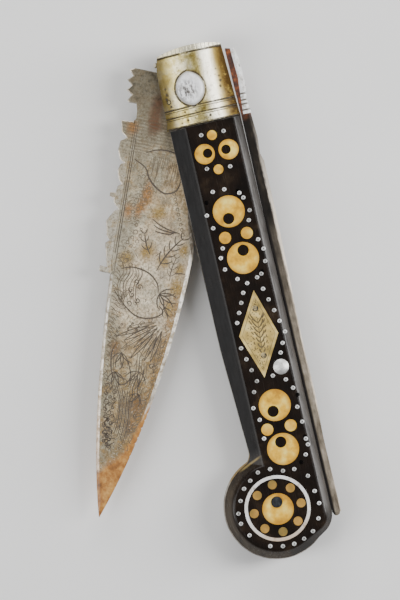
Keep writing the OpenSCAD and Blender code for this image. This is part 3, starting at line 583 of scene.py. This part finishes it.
# Middles and radii of the large bone discs
boneDiscs = [(27.1, 9.45, 4.05), (26.9, -0.25, 4.05), (51.3, 3.95, 6.4), (70.7, 5.35, 6.4),
             (130.8, 4.45, 6.4), (148.6, 3.75, 6.4), (171.5, -3.6, 6.3)]


def boneAged(name, low, mid, high, size=5, discs=()):
    # Old bone: amber and cream in soft clouds, with short darker pores, and darker towards a disc's rim
    place = startMaterial(name)
    clouds = noise(place, size, 4)
    base = ramp(clouds, (0.34, low), (0.5, mid), (0.66, high))
    if discs:
        nearest = smallest(*(divided(farFrom(x, y), radius) for x, y, radius in discs))
        base = tint(base, low, ranged(plus(nearest, times(clouds, 0.3)), 0.9, 1.15), 0.75)
    pores = ramp(noise(place, 0.5, 3, 0.6, stretch=(0.3, 1, 1)), (0.28, 1), (0.36, 0))
    base = tint(base, low, pores, 0.5)
    # light goes a little way into bone, and red light the farthest
    inside = {"IOR": 1.54, "Subsurface Weight": 0.04, "Subsurface Scale": 0.5,
              "Subsurface Radius": (0.8 * mm, 0.6 * mm, 0.3 * mm)}
    return endMaterial(base, 0, 0.36, minus(clouds, pores), 0.05, 0.35, inside)


def grimeAndShadeDark(name, colour):
    # Old oil and dirt in a sunk place, which in the pins' hollows is painted shade as well: dull, with
    # slightly lighter crumbs
    crumbs = noise(startMaterial(name), 0.6, 3)
    base = mix(ramp(crumbs, (0.4, 0), (0.7, 0.25)), colour, "#8a7f70")
    return endMaterial(base, 0, 0.7, crumbs, 0.03, 0.4)


def floorPaper():
    # Matt paper sweep of a studio, pale and almost even
    base = ramp(noise(startMaterial("studioPaper"), 60, 2), (0.3, "#f3f2f0"), (0.7, "#f7f6f4"))
    return endMaterial(base, 0, 0.8)


finishes = {
    "blade": steelBlade(),
    "ground": steelGround(),
    "liner": linerIron(),
    "spring": springIron(),
    "pins": patinaIron("drawnSteelWire", "#7d7a74", "#d2d2cf", "#f6f6f4", 6, 0.85, (0.42, 0.6), 0.05),
    "bolsterPins": ringedPins("brassWireEnds", "bolster_pins", 0.95, "#c9b77e"),
    "lozengePins": ringedPins("ironWireEnds", "lozenge_pins_front", 1.25, "#bfae82"),
    "rivet": patinaIron("blackenedSteelRivet", "#1f2225", "#34383b", "#4c5155", 2, 0.75, (0.35, 0.6), 0.15),
    "silver": silverHammered(),
    "pivotCap": silverRivet(),
    "springCap": silverCap(),
    "ring": silverRing(),
    "brass": brassWorn(),
    "horn": hornWithPaintedLight(),
    "pupil": hornPlain(),
    "bone": boneAged("boneAmber", "#b67f18", "#e9b52c", "#fade72", discs=boneDiscs),
    "dotBone": boneAged("boneYellow", "#b5841a", "#dba42a", "#ecc658"),
    "paleBone": boneAged("boneKhaki", "#97803f", "#c4a860", "#ddc786"),
    "brownBone": boneAged("boneBrown", "#6f6231", "#9a762f", "#c39443", 9),
    # grime and painted shade in the pins' hollows
    "hollow": grimeAndShadeDark("grimeAndPaintedShadeInHollows", "#14110e"),
    "cut": grimeAndShadeDark("grimeInCuts", "#473d33"),
    "fineCut": grimeAndShadeDark("grimeInFineCuts", "#5c503f"),
    "boneCut": grimeAndShadeDark("grimeInBone", "#5a4b2a"),
}

# The finish of each CAD node, and then of the nodes that both sides have
wears = {
    "blade": "blade", "back_spring": "spring", "spring_cap": "springCap", "cap_rivets": "silver",
    "bolster_pins": "bolsterPins", "pivot_pin": "pins", "spring_rivet": "silver", "pommel_rivet": "rivet",
    "pommel_spacer": "spring",
}
sidesWear = {
    "liner": "liner", "scale": "horn", "bolster": "brass", "rivet_cap": "pivotCap", "eyes": "bone",
    "pupils": "pupil", "bone_dots": "dotBone", "pommel_dots": "brownBone", "pommel_ring": "ring",
    "lozenge": "paleBone", "lozenge_pins": "lozengePins", "steel_pins": "pins",
}
wears.update({f"{part}_{side}": finish for part, finish in sidesWear.items() for side in sides})


def dress(piece, *names):
    piece.data.materials.clear()
    for name in names:
        piece.data.materials.append(finishes[name])


for node, finish in wears.items():
    dress(nodes[node], finish)
print("CAD nodes dressed")


# Helpers for the pieces that take a CAD node's place

def copyOf(node, name):
    # a free copy of a CAD node with its doubled corners merged
    takeUp(nodes[node])
    bpy.ops.object.duplicate()
    piece = bpy.context.object
    piece.name = name
    piece.parent = None
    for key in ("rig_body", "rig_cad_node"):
        del piece[key]
    takeUp(piece)
    setMode("EDIT")
    bpy.ops.mesh.select_all(action="SELECT")
    bpy.ops.mesh.remove_doubles(threshold=0.002 * mm)
    bpy.ops.mesh.dissolve_limited(angle_limit=math.radians(0.05))
    setMode("OBJECT")
    return piece


def cutAcross(direction, places):
    # divides the faces of the active piece at places in mm along a direction
    setMode("EDIT")
    for place in places:
        bpy.ops.mesh.select_all(action="SELECT")
        bpy.ops.mesh.bisect(plane_co=direction * (place * mm), plane_no=direction)
    setMode("OBJECT")


def pickFaces(piece, test):
    # leaves only the faces that pass the test selected, and goes to edit mode
    takeUp(piece)
    setMode("EDIT")
    bpy.ops.mesh.select_mode(type="FACE")
    bpy.ops.mesh.select_all(action="DESELECT")
    setMode("OBJECT")
    for face in piece.data.polygons:
        face.select = test(face)
    setMode("EDIT")


def turnedPoint(point, origin, turn):
    # turns a point by degrees about the origin of its motif and puts it in place
    c, s = math.cos(math.radians(turn)), math.sin(math.radians(turn))
    return origin[0] + point[0] * c - point[1] * s, origin[1] + point[0] * s + point[1] * c


def bladeFrame(co):
    # along the blade from the pivot, and towards its edge, in mm
    return turnedPoint((co.x / mm, co.y / mm), (0, 0), turnDegrees)


# Blade: the CAD one with worn rims on its crest and teeth, bright ground bevels and a nicked edge.
# Sizes are in mm. A lean of 1 is a face that looks straight up or down
bladeWork = {
    "rim": 0.32,                # width of the chamfer round the crest and the teeth
    "rimDepth": 0.13,
    "teethEnd": 24,             # the chamfer round the teeth stops this far from the pivot
    "fullFrom": 17.6,           # where the tang runs on into the blade it keeps its full thickness
    "halfThick": 1.5,
    "halfCrest": 1.2,
    "halfEdge": 0.16,           # the edge's narrow face lies within this of the middle plane
    "bevelLean": (0.6, 0.985),  # bevels lie between these
    "flatLean": 0.9999,         # and flat faces above this
    "nickHalf": 0.6,            # half the length of each nick, then its place and its depth
    "nicks": [(127.4, 0.2), (131.0, 0.3), (133.8, 0.25), (137.1, 0.4), (141.2, 0.3), (143.6, 0.35),
              (149.0, 0.2)],
    "near": 0.01,               # what differs by less counts as equal
}


def aboveMiddle(co):
    # height above the blade's middle plane, in mm
    return (co.z - bladeMid) / mm


def nickEdge(piece):
    along = Vector((math.cos(handleTurn), -math.sin(handleTurn), 0))
    inward = Vector((-math.sin(handleTurn), -math.cos(handleTurn), 0)) * mm
    half = bladeWork["nickHalf"]
    cutAcross(along, [nick[0] + step * half for nick in bladeWork["nicks"] for step in (-1, 0, 1)])
    for vertex in piece.data.vertices:
        x, y = bladeFrame(vertex.co)
        for place, depth in bladeWork["nicks"]:
            onEdge = y > 0 and abs(aboveMiddle(vertex.co)) < bladeWork["halfEdge"]
            if onEdge and abs(x - place) < bladeWork["near"]:
                vertex.co += inward * depth


def chamferRim(piece, level, side, test):
    # lowers a flat face and raises it again inside its rim, which leaves a chamfer round it
    def onLevel(face):
        apart = abs(aboveMiddle(face.center) - side * level)
        return apart < bladeWork["near"] and abs(face.normal.z) > bladeWork["flatLean"] and test(face)

    pickFaces(piece, onLevel)
    depth = bladeWork["rimDepth"] * mm
    bpy.ops.transform.translate(value=(0, 0, -side * depth))
    bpy.ops.mesh.inset(thickness=bladeWork["rim"] * mm, depth=depth)
    setMode("OBJECT")


def wearRims(piece, side):
    depth = bladeWork["rimDepth"]
    chamferRim(piece, bladeWork["halfCrest"], side, lambda face: True)
    chamferRim(piece, bladeWork["halfThick"], side,
               lambda face: bladeFrame(face.center)[0] < bladeWork["teethEnd"])
    low = side * (bladeWork["halfThick"] - depth)
    for vertex in piece.data.vertices:
        lowered = abs(aboveMiddle(vertex.co) - low) < bladeWork["near"]
        if lowered and bladeFrame(vertex.co)[0] > bladeWork["fullFrom"]:
            vertex.co.z += side * depth * mm


def isGround(face):
    # a bevel slopes, and isn't the step below the crest
    x, y = bladeFrame(face.center)
    startX, startY = crest["start"]
    onStep = x < crest["end"] - 1 and startY + crest["slope"] * (x - startX) < y < 0
    low, high = bladeWork["bevelLean"]
    return low < abs(face.normal.z) < high and not onStep


def makeBlade():
    piece = copyOf("blade", "forgedBlade")
    nickEdge(piece)
    for side in (1, -1):
        wearRims(piece, side)
    dress(piece, "blade", "ground")
    for face in piece.data.polygons:
        face.material_index = 1 if isGround(face) else 0
    takeUp(piece)
    bpy.ops.object.shade_smooth_by_angle(angle=math.radians(12))
    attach(piece, "blade")
    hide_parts("blade")


makeBlade()
print("blade ground")


# Small steel pins, each with a rounded head and a hollow in it painted dark with grime and painted shade:
# sizes in mm
pinShape = {
    "radius": 0.85, "foot": 0.9, "sides": 14,
    "rim": 0.08, "crown": 0.1,       # width of each of the head's two slopes, and the height of both
    "hollow": 0.3, "hollowDepth": 0.35,
}


def selectTop(piece):
    # in edit mode, leaves only the highest face selected
    bpy.ops.mesh.select_all(action="DESELECT")
    setMode("OBJECT")
    top = max(piece.data.polygons, key=lambda face: face.center.z)
    top.select = True
    setMode("EDIT")
    bpy.ops.mesh.select_mode(type="FACE")


def makePin():
    # one pin that ends at height 0: its head rises in a steep slope and then a flatter one
    radius, rim, crown, hollow = (pinShape[key] * mm for key in ("radius", "rim", "crown", "hollow"))
    height = pinShape["foot"] * mm - crown
    deselectAll()
    bpy.ops.mesh.primitive_cylinder_add(vertices=pinShape["sides"], radius=radius, depth=height,
                                        location=(0, 0, -crown - height / 2))
    pin = bpy.context.object
    bpy.ops.object.transform_apply(location=True)
    setMode("EDIT")
    selectTop(pin)
    for share in (0.75, 0.25):
        bpy.ops.mesh.inset(thickness=rim)
        bpy.ops.transform.translate(value=(0, 0, crown * share))
    bpy.ops.mesh.inset(thickness=radius - 2 * rim - hollow)
    bpy.ops.mesh.extrude_region_move(TRANSFORM_OT_translate={"value": (0, 0, -pinShape["hollowDepth"] * mm)})
    setMode("OBJECT")
    # the hollow's faces take the grime and painted shade
    dress(pin, "pins", "hollow")
    for face in pin.data.polygons:
        inside = math.hypot(face.center.x, face.center.y) < hollow + 0.02 * mm
        atFoot = face.center.z < -height / 2
        face.material_index = 1 if inside and not atFoot else 0
    bpy.ops.object.shade_smooth_by_angle(angle=math.radians(40))
    return pin


def makePins(side):
    node = "steel_pins_" + side
    pin = makePin()
    copies = []
    for place in pinPlaces(node):
        one = newObject("onePin", pin.data.copy())
        one.location = place
        if side == "reverse":
            one.rotation_euler = (math.pi, 0, 0)
        copies.append(one)
    bpy.data.objects.remove(pin)
    takeUp(copies[0])
    for one in copies:
        one.select_set(True)
    bpy.ops.object.join()
    piece = bpy.context.object
    piece.name = "ringPins" + side.capitalize()
    bpy.ops.object.transform_apply(location=True, rotation=True)
    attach(piece, "handle")
    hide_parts(node)


for side in sides:
    makePins(side)
print("pins set")


# Back spring, from its rivet to its head
springLine = {
    # in metres, along the handle and across it
    "rivet": (0.112, 0.018),
    "head": (0.018, 0.018),
    # in mm: where its faces are divided, its inner side, and its width
    "cuts": range(-8, 176, 4),
    "inner": 17.5,
    "width": 5.2,
}


def makeSpring():
    piece = copyOf("back_spring", "bentSpring")
    cutAcross(Vector((1, 0, 0)), springLine["cuts"])
    bpy.ops.object.shade_smooth_by_angle(angle=math.radians(25))
    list(springLine["rivet"])
    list(springLine["head"])
    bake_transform(piece)
    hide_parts("back_spring")
    dress(piece, "spring")
    outward = piece.data.attributes.new("outward", "FLOAT", "POINT")
    for vertex, share in zip(piece.data.vertices, outward.data):
        share.value = (vertex.co.y / mm - springLine["inner"]) / springLine["width"]


makeSpring()


# Engraving, in mm and degrees. A stroke is a line of points and its weight, and 1 is the plain width

def arc(origin, turn, length, rise, weight):
    # a stroke that starts at origin, runs on for its length and bows sideways by rise
    shares = [k / 9 for k in range(10)]
    return [turnedPoint((length * t, 4 * rise * t * (1 - t)), origin, turn) for t in shares], weight


def flow(points, weight):
    # a smooth stroke through a few points
    ends = [points[0]] + points + [points[-1]]
    line = []
    for k in range(1, len(ends) - 2):
        before, here, there, after = ends[k - 1:k + 3]
        for t in (0, 0.2, 0.4, 0.6, 0.8):
            line.append([0.5 * (2 * b + (c - a) * t + (2 * a - 5 * b + 4 * c - d) * t ** 2
                                + (3 * b - a - 3 * c + d) * t ** 3)
                         for a, b, c, d in zip(before, here, there, after)])
    return line + [points[-1]], weight


def spiral(origin, turn, radius, turns, weight):
    # winds inwards to a fifth of its radius
    count = int(14 * turns) + 4
    shares = [k / count for k in range(count + 1)]
    return [turnedPoint((radius * (1 - 0.8 * t), 0), origin, turn + 360 * turns * t) for t in shares], weight


def sprig(origin, turn, length, leaves, leafLength, weight):
    # a bowed stem with pairs of leaves that shorten towards its end
    bow = length * 0.06
    yield arc(origin, turn, length, bow, weight)
    for k in range(leaves):
        share = 0.2 + 0.75 * k / (leaves - 1)
        root = turnedPoint((length * share, 4 * bow * share * (1 - share)), origin, turn)
        size = leafLength * (1.1 - 0.5 * share)
        yield arc(root, turn + 38, size, size * 0.12, weight * 0.8)
        yield arc(root, turn - 38, size, -size * 0.12, weight * 0.8)


def palmette(origin, turn, opening, petals, length, weight):
    # a fan of petals, longest in its middle
    for k in range(petals):
        share = k / (petals - 1)
        size = length * (1 - 0.25 * abs(2 * share - 1))
        bow = size * 0.14 * (1 if k % 2 else -1)
        yield arc(origin, turn - opening / 2 + opening * share, size, bow, weight)


def leaf(origin, turn, length, belly, weight):
    # a slim leaf: two strokes that bow apart, and its midrib
    return [arc(origin, turn, length, length * belly, weight),
            arc(origin, turn, length, -length * belly, weight),
            arc(origin, turn, length * 0.7, 0, weight * 0.6)]


def bead(place, radius, weight):
    return [turnedPoint((radius, 0), place, 36 * k) for k in range(11)], weight


# In metres: how far off the blade's middle plane strokes start, and how far over a face they end
graver = {"start": 0.02, "lift": 0.02 * mm}


def cutStrokes(name, strokes, width, onto, turn, side=1):
    # lays flat tapering strokes just over a face, as a graver's cuts show from above
    curve = bpy.data.curves.new(name, "CURVE")
    curve.dimensions = "3D"
    curve.twist_mode = "Z_UP"
    curve.extrude = width * mm / 2
    for points, weight in strokes:
        spline = curve.splines.new("POLY")
        spline.points.add(len(points) - 1)
        for k, (point, corner) in enumerate(zip(spline.points, points)):
            x, y = turnedPoint(corner, (0, 0), turn)
            point.co = (x * mm, y * mm, bladeMid + side * graver["start"], 1)
            point.tilt = math.pi / 2
            # thin at both ends, and full in the middle
            share = 0.12 + 0.76 * k / (len(points) - 1)
            point.radius = weight * (0.25 + 0.75 * math.sin(math.pi * share))
    takeUp(newObject(name, curve))
    bpy.ops.object.convert(target="MESH")
    piece = bpy.context.object
    wrap = piece.modifiers.new("onFace", "SHRINKWRAP")
    wrap.target = nodes[onto]
    wrap.wrap_method = "PROJECT"
    wrap.use_project_z = True
    wrap.use_negative_direction = side > 0
    wrap.use_positive_direction = side < 0
    wrap.offset = graver["lift"]
    bpy.ops.object.modifier_apply(modifier=wrap.name)
    # what ran past the face found nothing to lie on and is still high up, and goes
    high = graver["start"] * 0.6
    corners = piece.data.vertices
    pickFaces(piece, lambda face: any(abs(corners[k].co.z - bladeMid) > high for k in face.vertices))
    bpy.ops.mesh.delete(type="FACE")
    setMode("OBJECT")
    return piece


bladeArt = {
    "width": 0.5,
    "heavy": 0.75,       # strokes over this weight hold the darker dirt
    "spineLines": [[(18, -18.3), (79, -15.3)], [(18, -17.5), (79, -14.5)]],
    # bends of the blade's two sides, from which the motifs take their room
    "spine": [(79, -16), (112, -13.4), (148, -8.6), (175, 0)],
    "edge": [(65, 15.1), (95, 15.6), (137, 12.6), (175, 0.4)],
    "fan": (93, 10),     # root of the fan of slim leaves
    "smallCuts": 190,
    "seed": 7,
}


def sideAt(bends, x):
    # height of a side of the blade over x: its curve runs nearly evenly along x
    t = min(1, max(0, (x - bends[0][0]) / (bends[3][0] - bends[0][0])))
    weights = ((1 - t) ** 3, 3 * t * (1 - t) ** 2, 3 * t * t * (1 - t), t ** 3)
    return sum(weight * bend[1] for weight, bend in zip(weights, bends))


def lay(x, share):
    # a point of the blade's face at x, with share 0 by the spine and 1 by the edge
    low = sideAt(bladeArt["spine"], x) + 1.8
    return x, low + (sideAt(bladeArt["edge"], x) - 2.2 - low) * share


def layFlow(weight, *places):
    # a smooth stroke through such points
    return flow([lay(x, share) for x, share in places], weight)


def shieldAndBeads(draw):
    # a hatched shield by the tang, with strings of beads down the middle and by the edge
    for k in range(11):
        yield arc((17.5 + 1.15 * k, -17), 88, draw(6, 10), 0.2, 0.3)
    yield flow([(28.5, -12), (26.6, -8), (26, -4), (26.5, 0), (28.4, 4)], 1.3)
    yield flow([(32, -16), (34.5, -11), (38.5, -8.5), (41.5, -5), (43, -1), (41, 3), (37, 4)], 1.5)
    for k in range(17):
        yield arc((27.5 + 0.4 * abs(k - 6), -9.5 + 0.8 * k), draw(-5, 7), draw(5, 12), 0.2, 0.5)
    for k in range(15):
        x, y = 38 + 2.5 * k + draw(-0.5, 0.5), -11 + 1.6 * math.sin(k * 0.9)
        yield bead((x, y), draw(0.5, 0.9), 0.7)
        yield bead((x + 1.2, y + draw(1.4, 2.4)), draw(0.4, 0.7), 0.6)
        yield arc((x, y - 2.5), draw(20, 160), 2.2, 0.4, 0.5)
    for k in range(9):
        yield bead((42.5 + 1.9 * k, 2.5 + 0.85 * k), 0.6, 0.7)


def sprigsAndScrolls(draw):
    # sprays and scrolls over the heel, and a bundle of stems beside the spine with curls at its foot
    for k in range(3):
        yield flow([(54 + 2.2 * k, -4 + k), (56 + 1.4 * k, 0), (57 + 0.8 * k, 4), (57.5, 8 - k)], 1.2)
    yield from sprig((74, 2), 152, 17, 5, 5, 1.3)
    yield from sprig((68, -2), 205, 9, 3, 3.4, 1.2)
    yield from sprig((77, 8), 175, 10, 4, 3.2, 0.8)
    yield arc((74, 9), 100, 5, 0.4, 1.0)
    yield flow([(76, -12), (74.5, -7), (75.5, -1), (78.5, 3), (82, 4.5)], 1.3)
    yield flow([(85, -13), (90, -8), (93.5, -2), (93, 4), (90, 8), (87.5, 6)], 1.3)
    for k in range(7):
        y = -12 + 1.25 * k
        stem = [(73 + draw(0, 2), y), (77, y + 1.2), (82, y + draw(-0.6, 0.6)), (87 + 0.4 * k, y + 1.4)]
        yield flow(stem, draw(0.6, 1.1))
    for k in range(6):
        yield spiral((80 + 1.8 * k, -5 + 2 * math.sin(2 * k)), 70 * k, 1.2, 1.2, 0.9)
    yield from palmette((83, 5), 66, 110, 8, 8, 1.1)
    yield from palmette((88, 8), 40, 60, 4, 5, 0.8)
    for k in range(4):
        yield from leaf((88 + 1.2 * k, -9.5 + 0.8 * k), 150 + 34 * k, 5, 0.14, 0.6)
    for k in range(26):
        yield arc(lay(72 + 1.4 * k, 0), draw(40, 80), draw(2.5, 5), 0.4, 0.6)


def fanAndPlumes(draw):
    # slim leaves that fan out from the edge, with curls and plumes between them and the spine
    for k in range(10):
        lean = -70 + 7.4 * k
        root = turnedPoint((4 + 3 * (k % 2), 0), bladeArt["fan"], lean)
        yield from leaf(root, lean + 2, draw(11, 15), 0.05, 0.95 if k % 3 else 0.7)
    for k in range(12):
        yield bead(turnedPoint((9 + 1.1 * k, 0), bladeArt["fan"], -74 + 4 * (k % 4)), 0.35, 0.8)
    for k in range(2):
        rise = 0.05 * k
        yield layFlow(1.1 - 0.4 * k, (106 + k, 0.16 + rise), (110, 0.1 + rise), (116, 0.12 + rise),
                      (120, 0.2 + 0.04 * k))
    yield layFlow(1.1, (112, 0.42), (117.5, 0.52), (121, 0.44), (121.5, 0.3))
    for x, share, turn, petals, length in ((109, 0.28, 5, 7, 7), (117, 0.2, 20, 7, 7), (115, 0.66, -12, 6, 8),
                                           (124, 0.78, -20, 5, 6)):
        yield from palmette(lay(x, share), turn, 95, petals, length, 0.9)


def stemsToTip(draw):
    # a rope of wavy stems to the tip, dense curls between it and the spine, and cuts by both sides
    for k in range(5):
        rise = 0.05 * k
        yield layFlow(0.95 if k % 2 else 0.7, (108 + k, 0.56 + rise), (116, 0.6 + rise),
                      (122, 0.56 + rise), (128 - k, 0.62 + rise))
    for k in range(9):
        rise = 0.045 * k
        yield layFlow(1.0 if k % 2 else 0.7, (121 + 0.5 * k, 0.18 + rise * 1.5), (128, 0.36 + rise * 0.8),
                      (136, 0.38 + rise), (141 + 0.5 * k, 0.32 + rise * 1.3))
    for k in range(24):
        place = lay(123 + 1.05 * k, 0.07 + 0.09 * (k % 3))
        yield spiral(place, 63 * k, draw(0.7, 1.3), 1.2, 1.1 if k > 12 else 0.8)
        yield arc(place, draw(0, 180), draw(1.5, 3), 0.4, 0.9 if k > 12 else 0.7)
    for k in range(26):
        yield arc(lay(96 + 1.9 * k, 0), draw(35, 80), draw(1.5, 3.2), 0.4, 0.75)
        yield arc(lay(96 + 1.7 * k, 0.97), draw(-70, -20), draw(1.5, 3.5), 0.5, 0.75)
    for x, share, radius in ((112, 0.86, 1.3), (133, 0.84, 1.0), (139, 0.78, 0.9)):
        yield spiral(lay(x, share), 20 * x, radius, 1.3, 0.9)


def smallCuts(draw):
    # short cuts that fill the room between the motifs, spread evenly over the face
    for k in range(bladeArt["smallCuts"]):
        place = lay(60 + 87 * math.sqrt(k / bladeArt["smallCuts"]), (0.618 * k) % 1)
        yield arc(place, draw(-60, 60), draw(1.2, 3.4), draw(-0.7, 0.7), draw(0.45, 0.72))


def bladeStrokes():
    # an engraver's free pattern
    draw = random.Random(bladeArt["seed"]).uniform
    strokes = [flow(line, 0.8) for line in bladeArt["spineLines"]]
    for motif in (shieldAndBeads, sprigsAndScrolls, fanAndPlumes, stemsToTip, smallCuts):
        strokes += motif(draw)
    return strokes


def makeBladeArt():
    strokes = bladeStrokes()
    for name, finish, heavy in (("bladeEngraving", "cut", True), ("bladeFineEngraving", "fineCut", False)):
        kept = [stroke for stroke in strokes if (stroke[1] > bladeArt["heavy"]) == heavy]
        piece = cutStrokes(name, kept, bladeArt["width"], "blade", -turnDegrees)
        dress(piece, finish)
        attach(piece, "blade")


# Lozenge: where its middle lies, and its corners about that
lozengeArt = {
    "width": 0.4,
    "dots": 85,
    "middle": (101.8, 4.65),
    "corners": [(-14.8, 1.6), (1.0, 6.4), (14.6, -1.4), (-0.8, -6.6)],
}


def lozengeStrokes():
    middleX, middleY = lozengeArt["middle"]
    yield arc((middleX - 7, middleY + 0.8), -4, 17, 0, 0.8)
    # leaves in pairs along the stem, which shorten to its end
    for k in range(7):
        x, y = middleX - 4.5 + 2 * k, middleY + 0.6 - 0.12 * k
        size = 4.6 - 0.42 * k
        yield arc((x, y), 142, size, -0.3, 1.5)
        yield arc((x, y), -150, size, 0.3, 1.5)
        yield arc((x - 1.6, y + 2), 146, size * 0.5, -0.2, 1.2)
        yield arc((x - 1.8, y - 2.2), -154, size * 0.45, 0.2, 1.2)
    # the rim line along each side
    corners = lozengeArt["corners"]
    for k, (x, y) in enumerate(corners):
        u, v = corners[(k + 1) % 4]
        shares = [j / 10 for j in range(11)]
        yield [(middleX + x + (u - x) * t, middleY + y + (v - y) * t) for t in shares], 0.5
    # pricked dots, closer together on the belly's side
    for k in range(lozengeArt["dots"]):
        share = ((0.618 * k) % 1) ** 1.4
        along = 1 - 2 * (k + 0.5) / lozengeArt["dots"]
        reach = 5.6 * (1 - abs(along))
        place = (middleX + 13.6 * along, middleY - 1.4 * along - reach + 2 * reach * share)
        yield arc(place, 40 * k, 0.45, 0, 1.1)


def makeLozengeArt():
    for side, up in zip(sides, (1, -1)):
        piece = cutStrokes("lozengeEngraving" + side.capitalize(), lozengeStrokes(), lozengeArt["width"],
                           "lozenge_" + side, 0, up)
        dress(piece, "boneCut")
        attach(piece, "handle")


makeBladeArt()
makeLozengeArt()
print("engraving cut")


# Studio: a pale floor, a dim world, and soft boxes that aim at the knife
studio = {
    "floorSize": 6,
    "floorMiddle": (0.08, 0, -0.0001),
    "world": "#c8ccd2",
    "worldStrength": 0.36,
    "aim": (0.08, 0, 0),
    # where each soft box stands, its size, and its power in watts
    "boxes": [
        ((0.10, 0.80, 0.66), (0.30, 1), 12.5),
        ((0.10, -0.68, 0.74), (0.34, 1), 6.5),
        ((-0.80, 0.05, 0.66), (0.8, 0.4), 4.7),
    ],
}


def makeFloor():
    bpy.ops.mesh.primitive_plane_add(size=studio["floorSize"], location=studio["floorMiddle"])
    floor = bpy.context.object
    floor.name = "studioFloor"
    floor.data.materials.append(floorPaper())


def makeWorld():
    world = bpy.data.worlds.new("studioWorld")
    bpy.context.scene.world = world
    world.use_nodes = True
    background = world.node_tree.nodes["Background"]
    background.inputs["Color"].default_value = srgb(studio["world"])
    background.inputs["Strength"].default_value = studio["worldStrength"]


def makeSoftBoxes():
    for number, (spot, size, power) in enumerate(studio["boxes"]):
        light = bpy.data.lights.new(f"softBox{number}", "AREA")
        light.shape = "RECTANGLE"
        light.size, light.size_y = size
        light.energy = power
        lamp = newObject(f"softBox{number}", light)
        lamp.location = spot
        lamp.rotation_euler = (Vector(studio["aim"]) - Vector(spot)).to_track_quat("-Z", "Y").to_euler()


makeFloor()
makeWorld()
makeSoftBoxes()
print("studio lit")
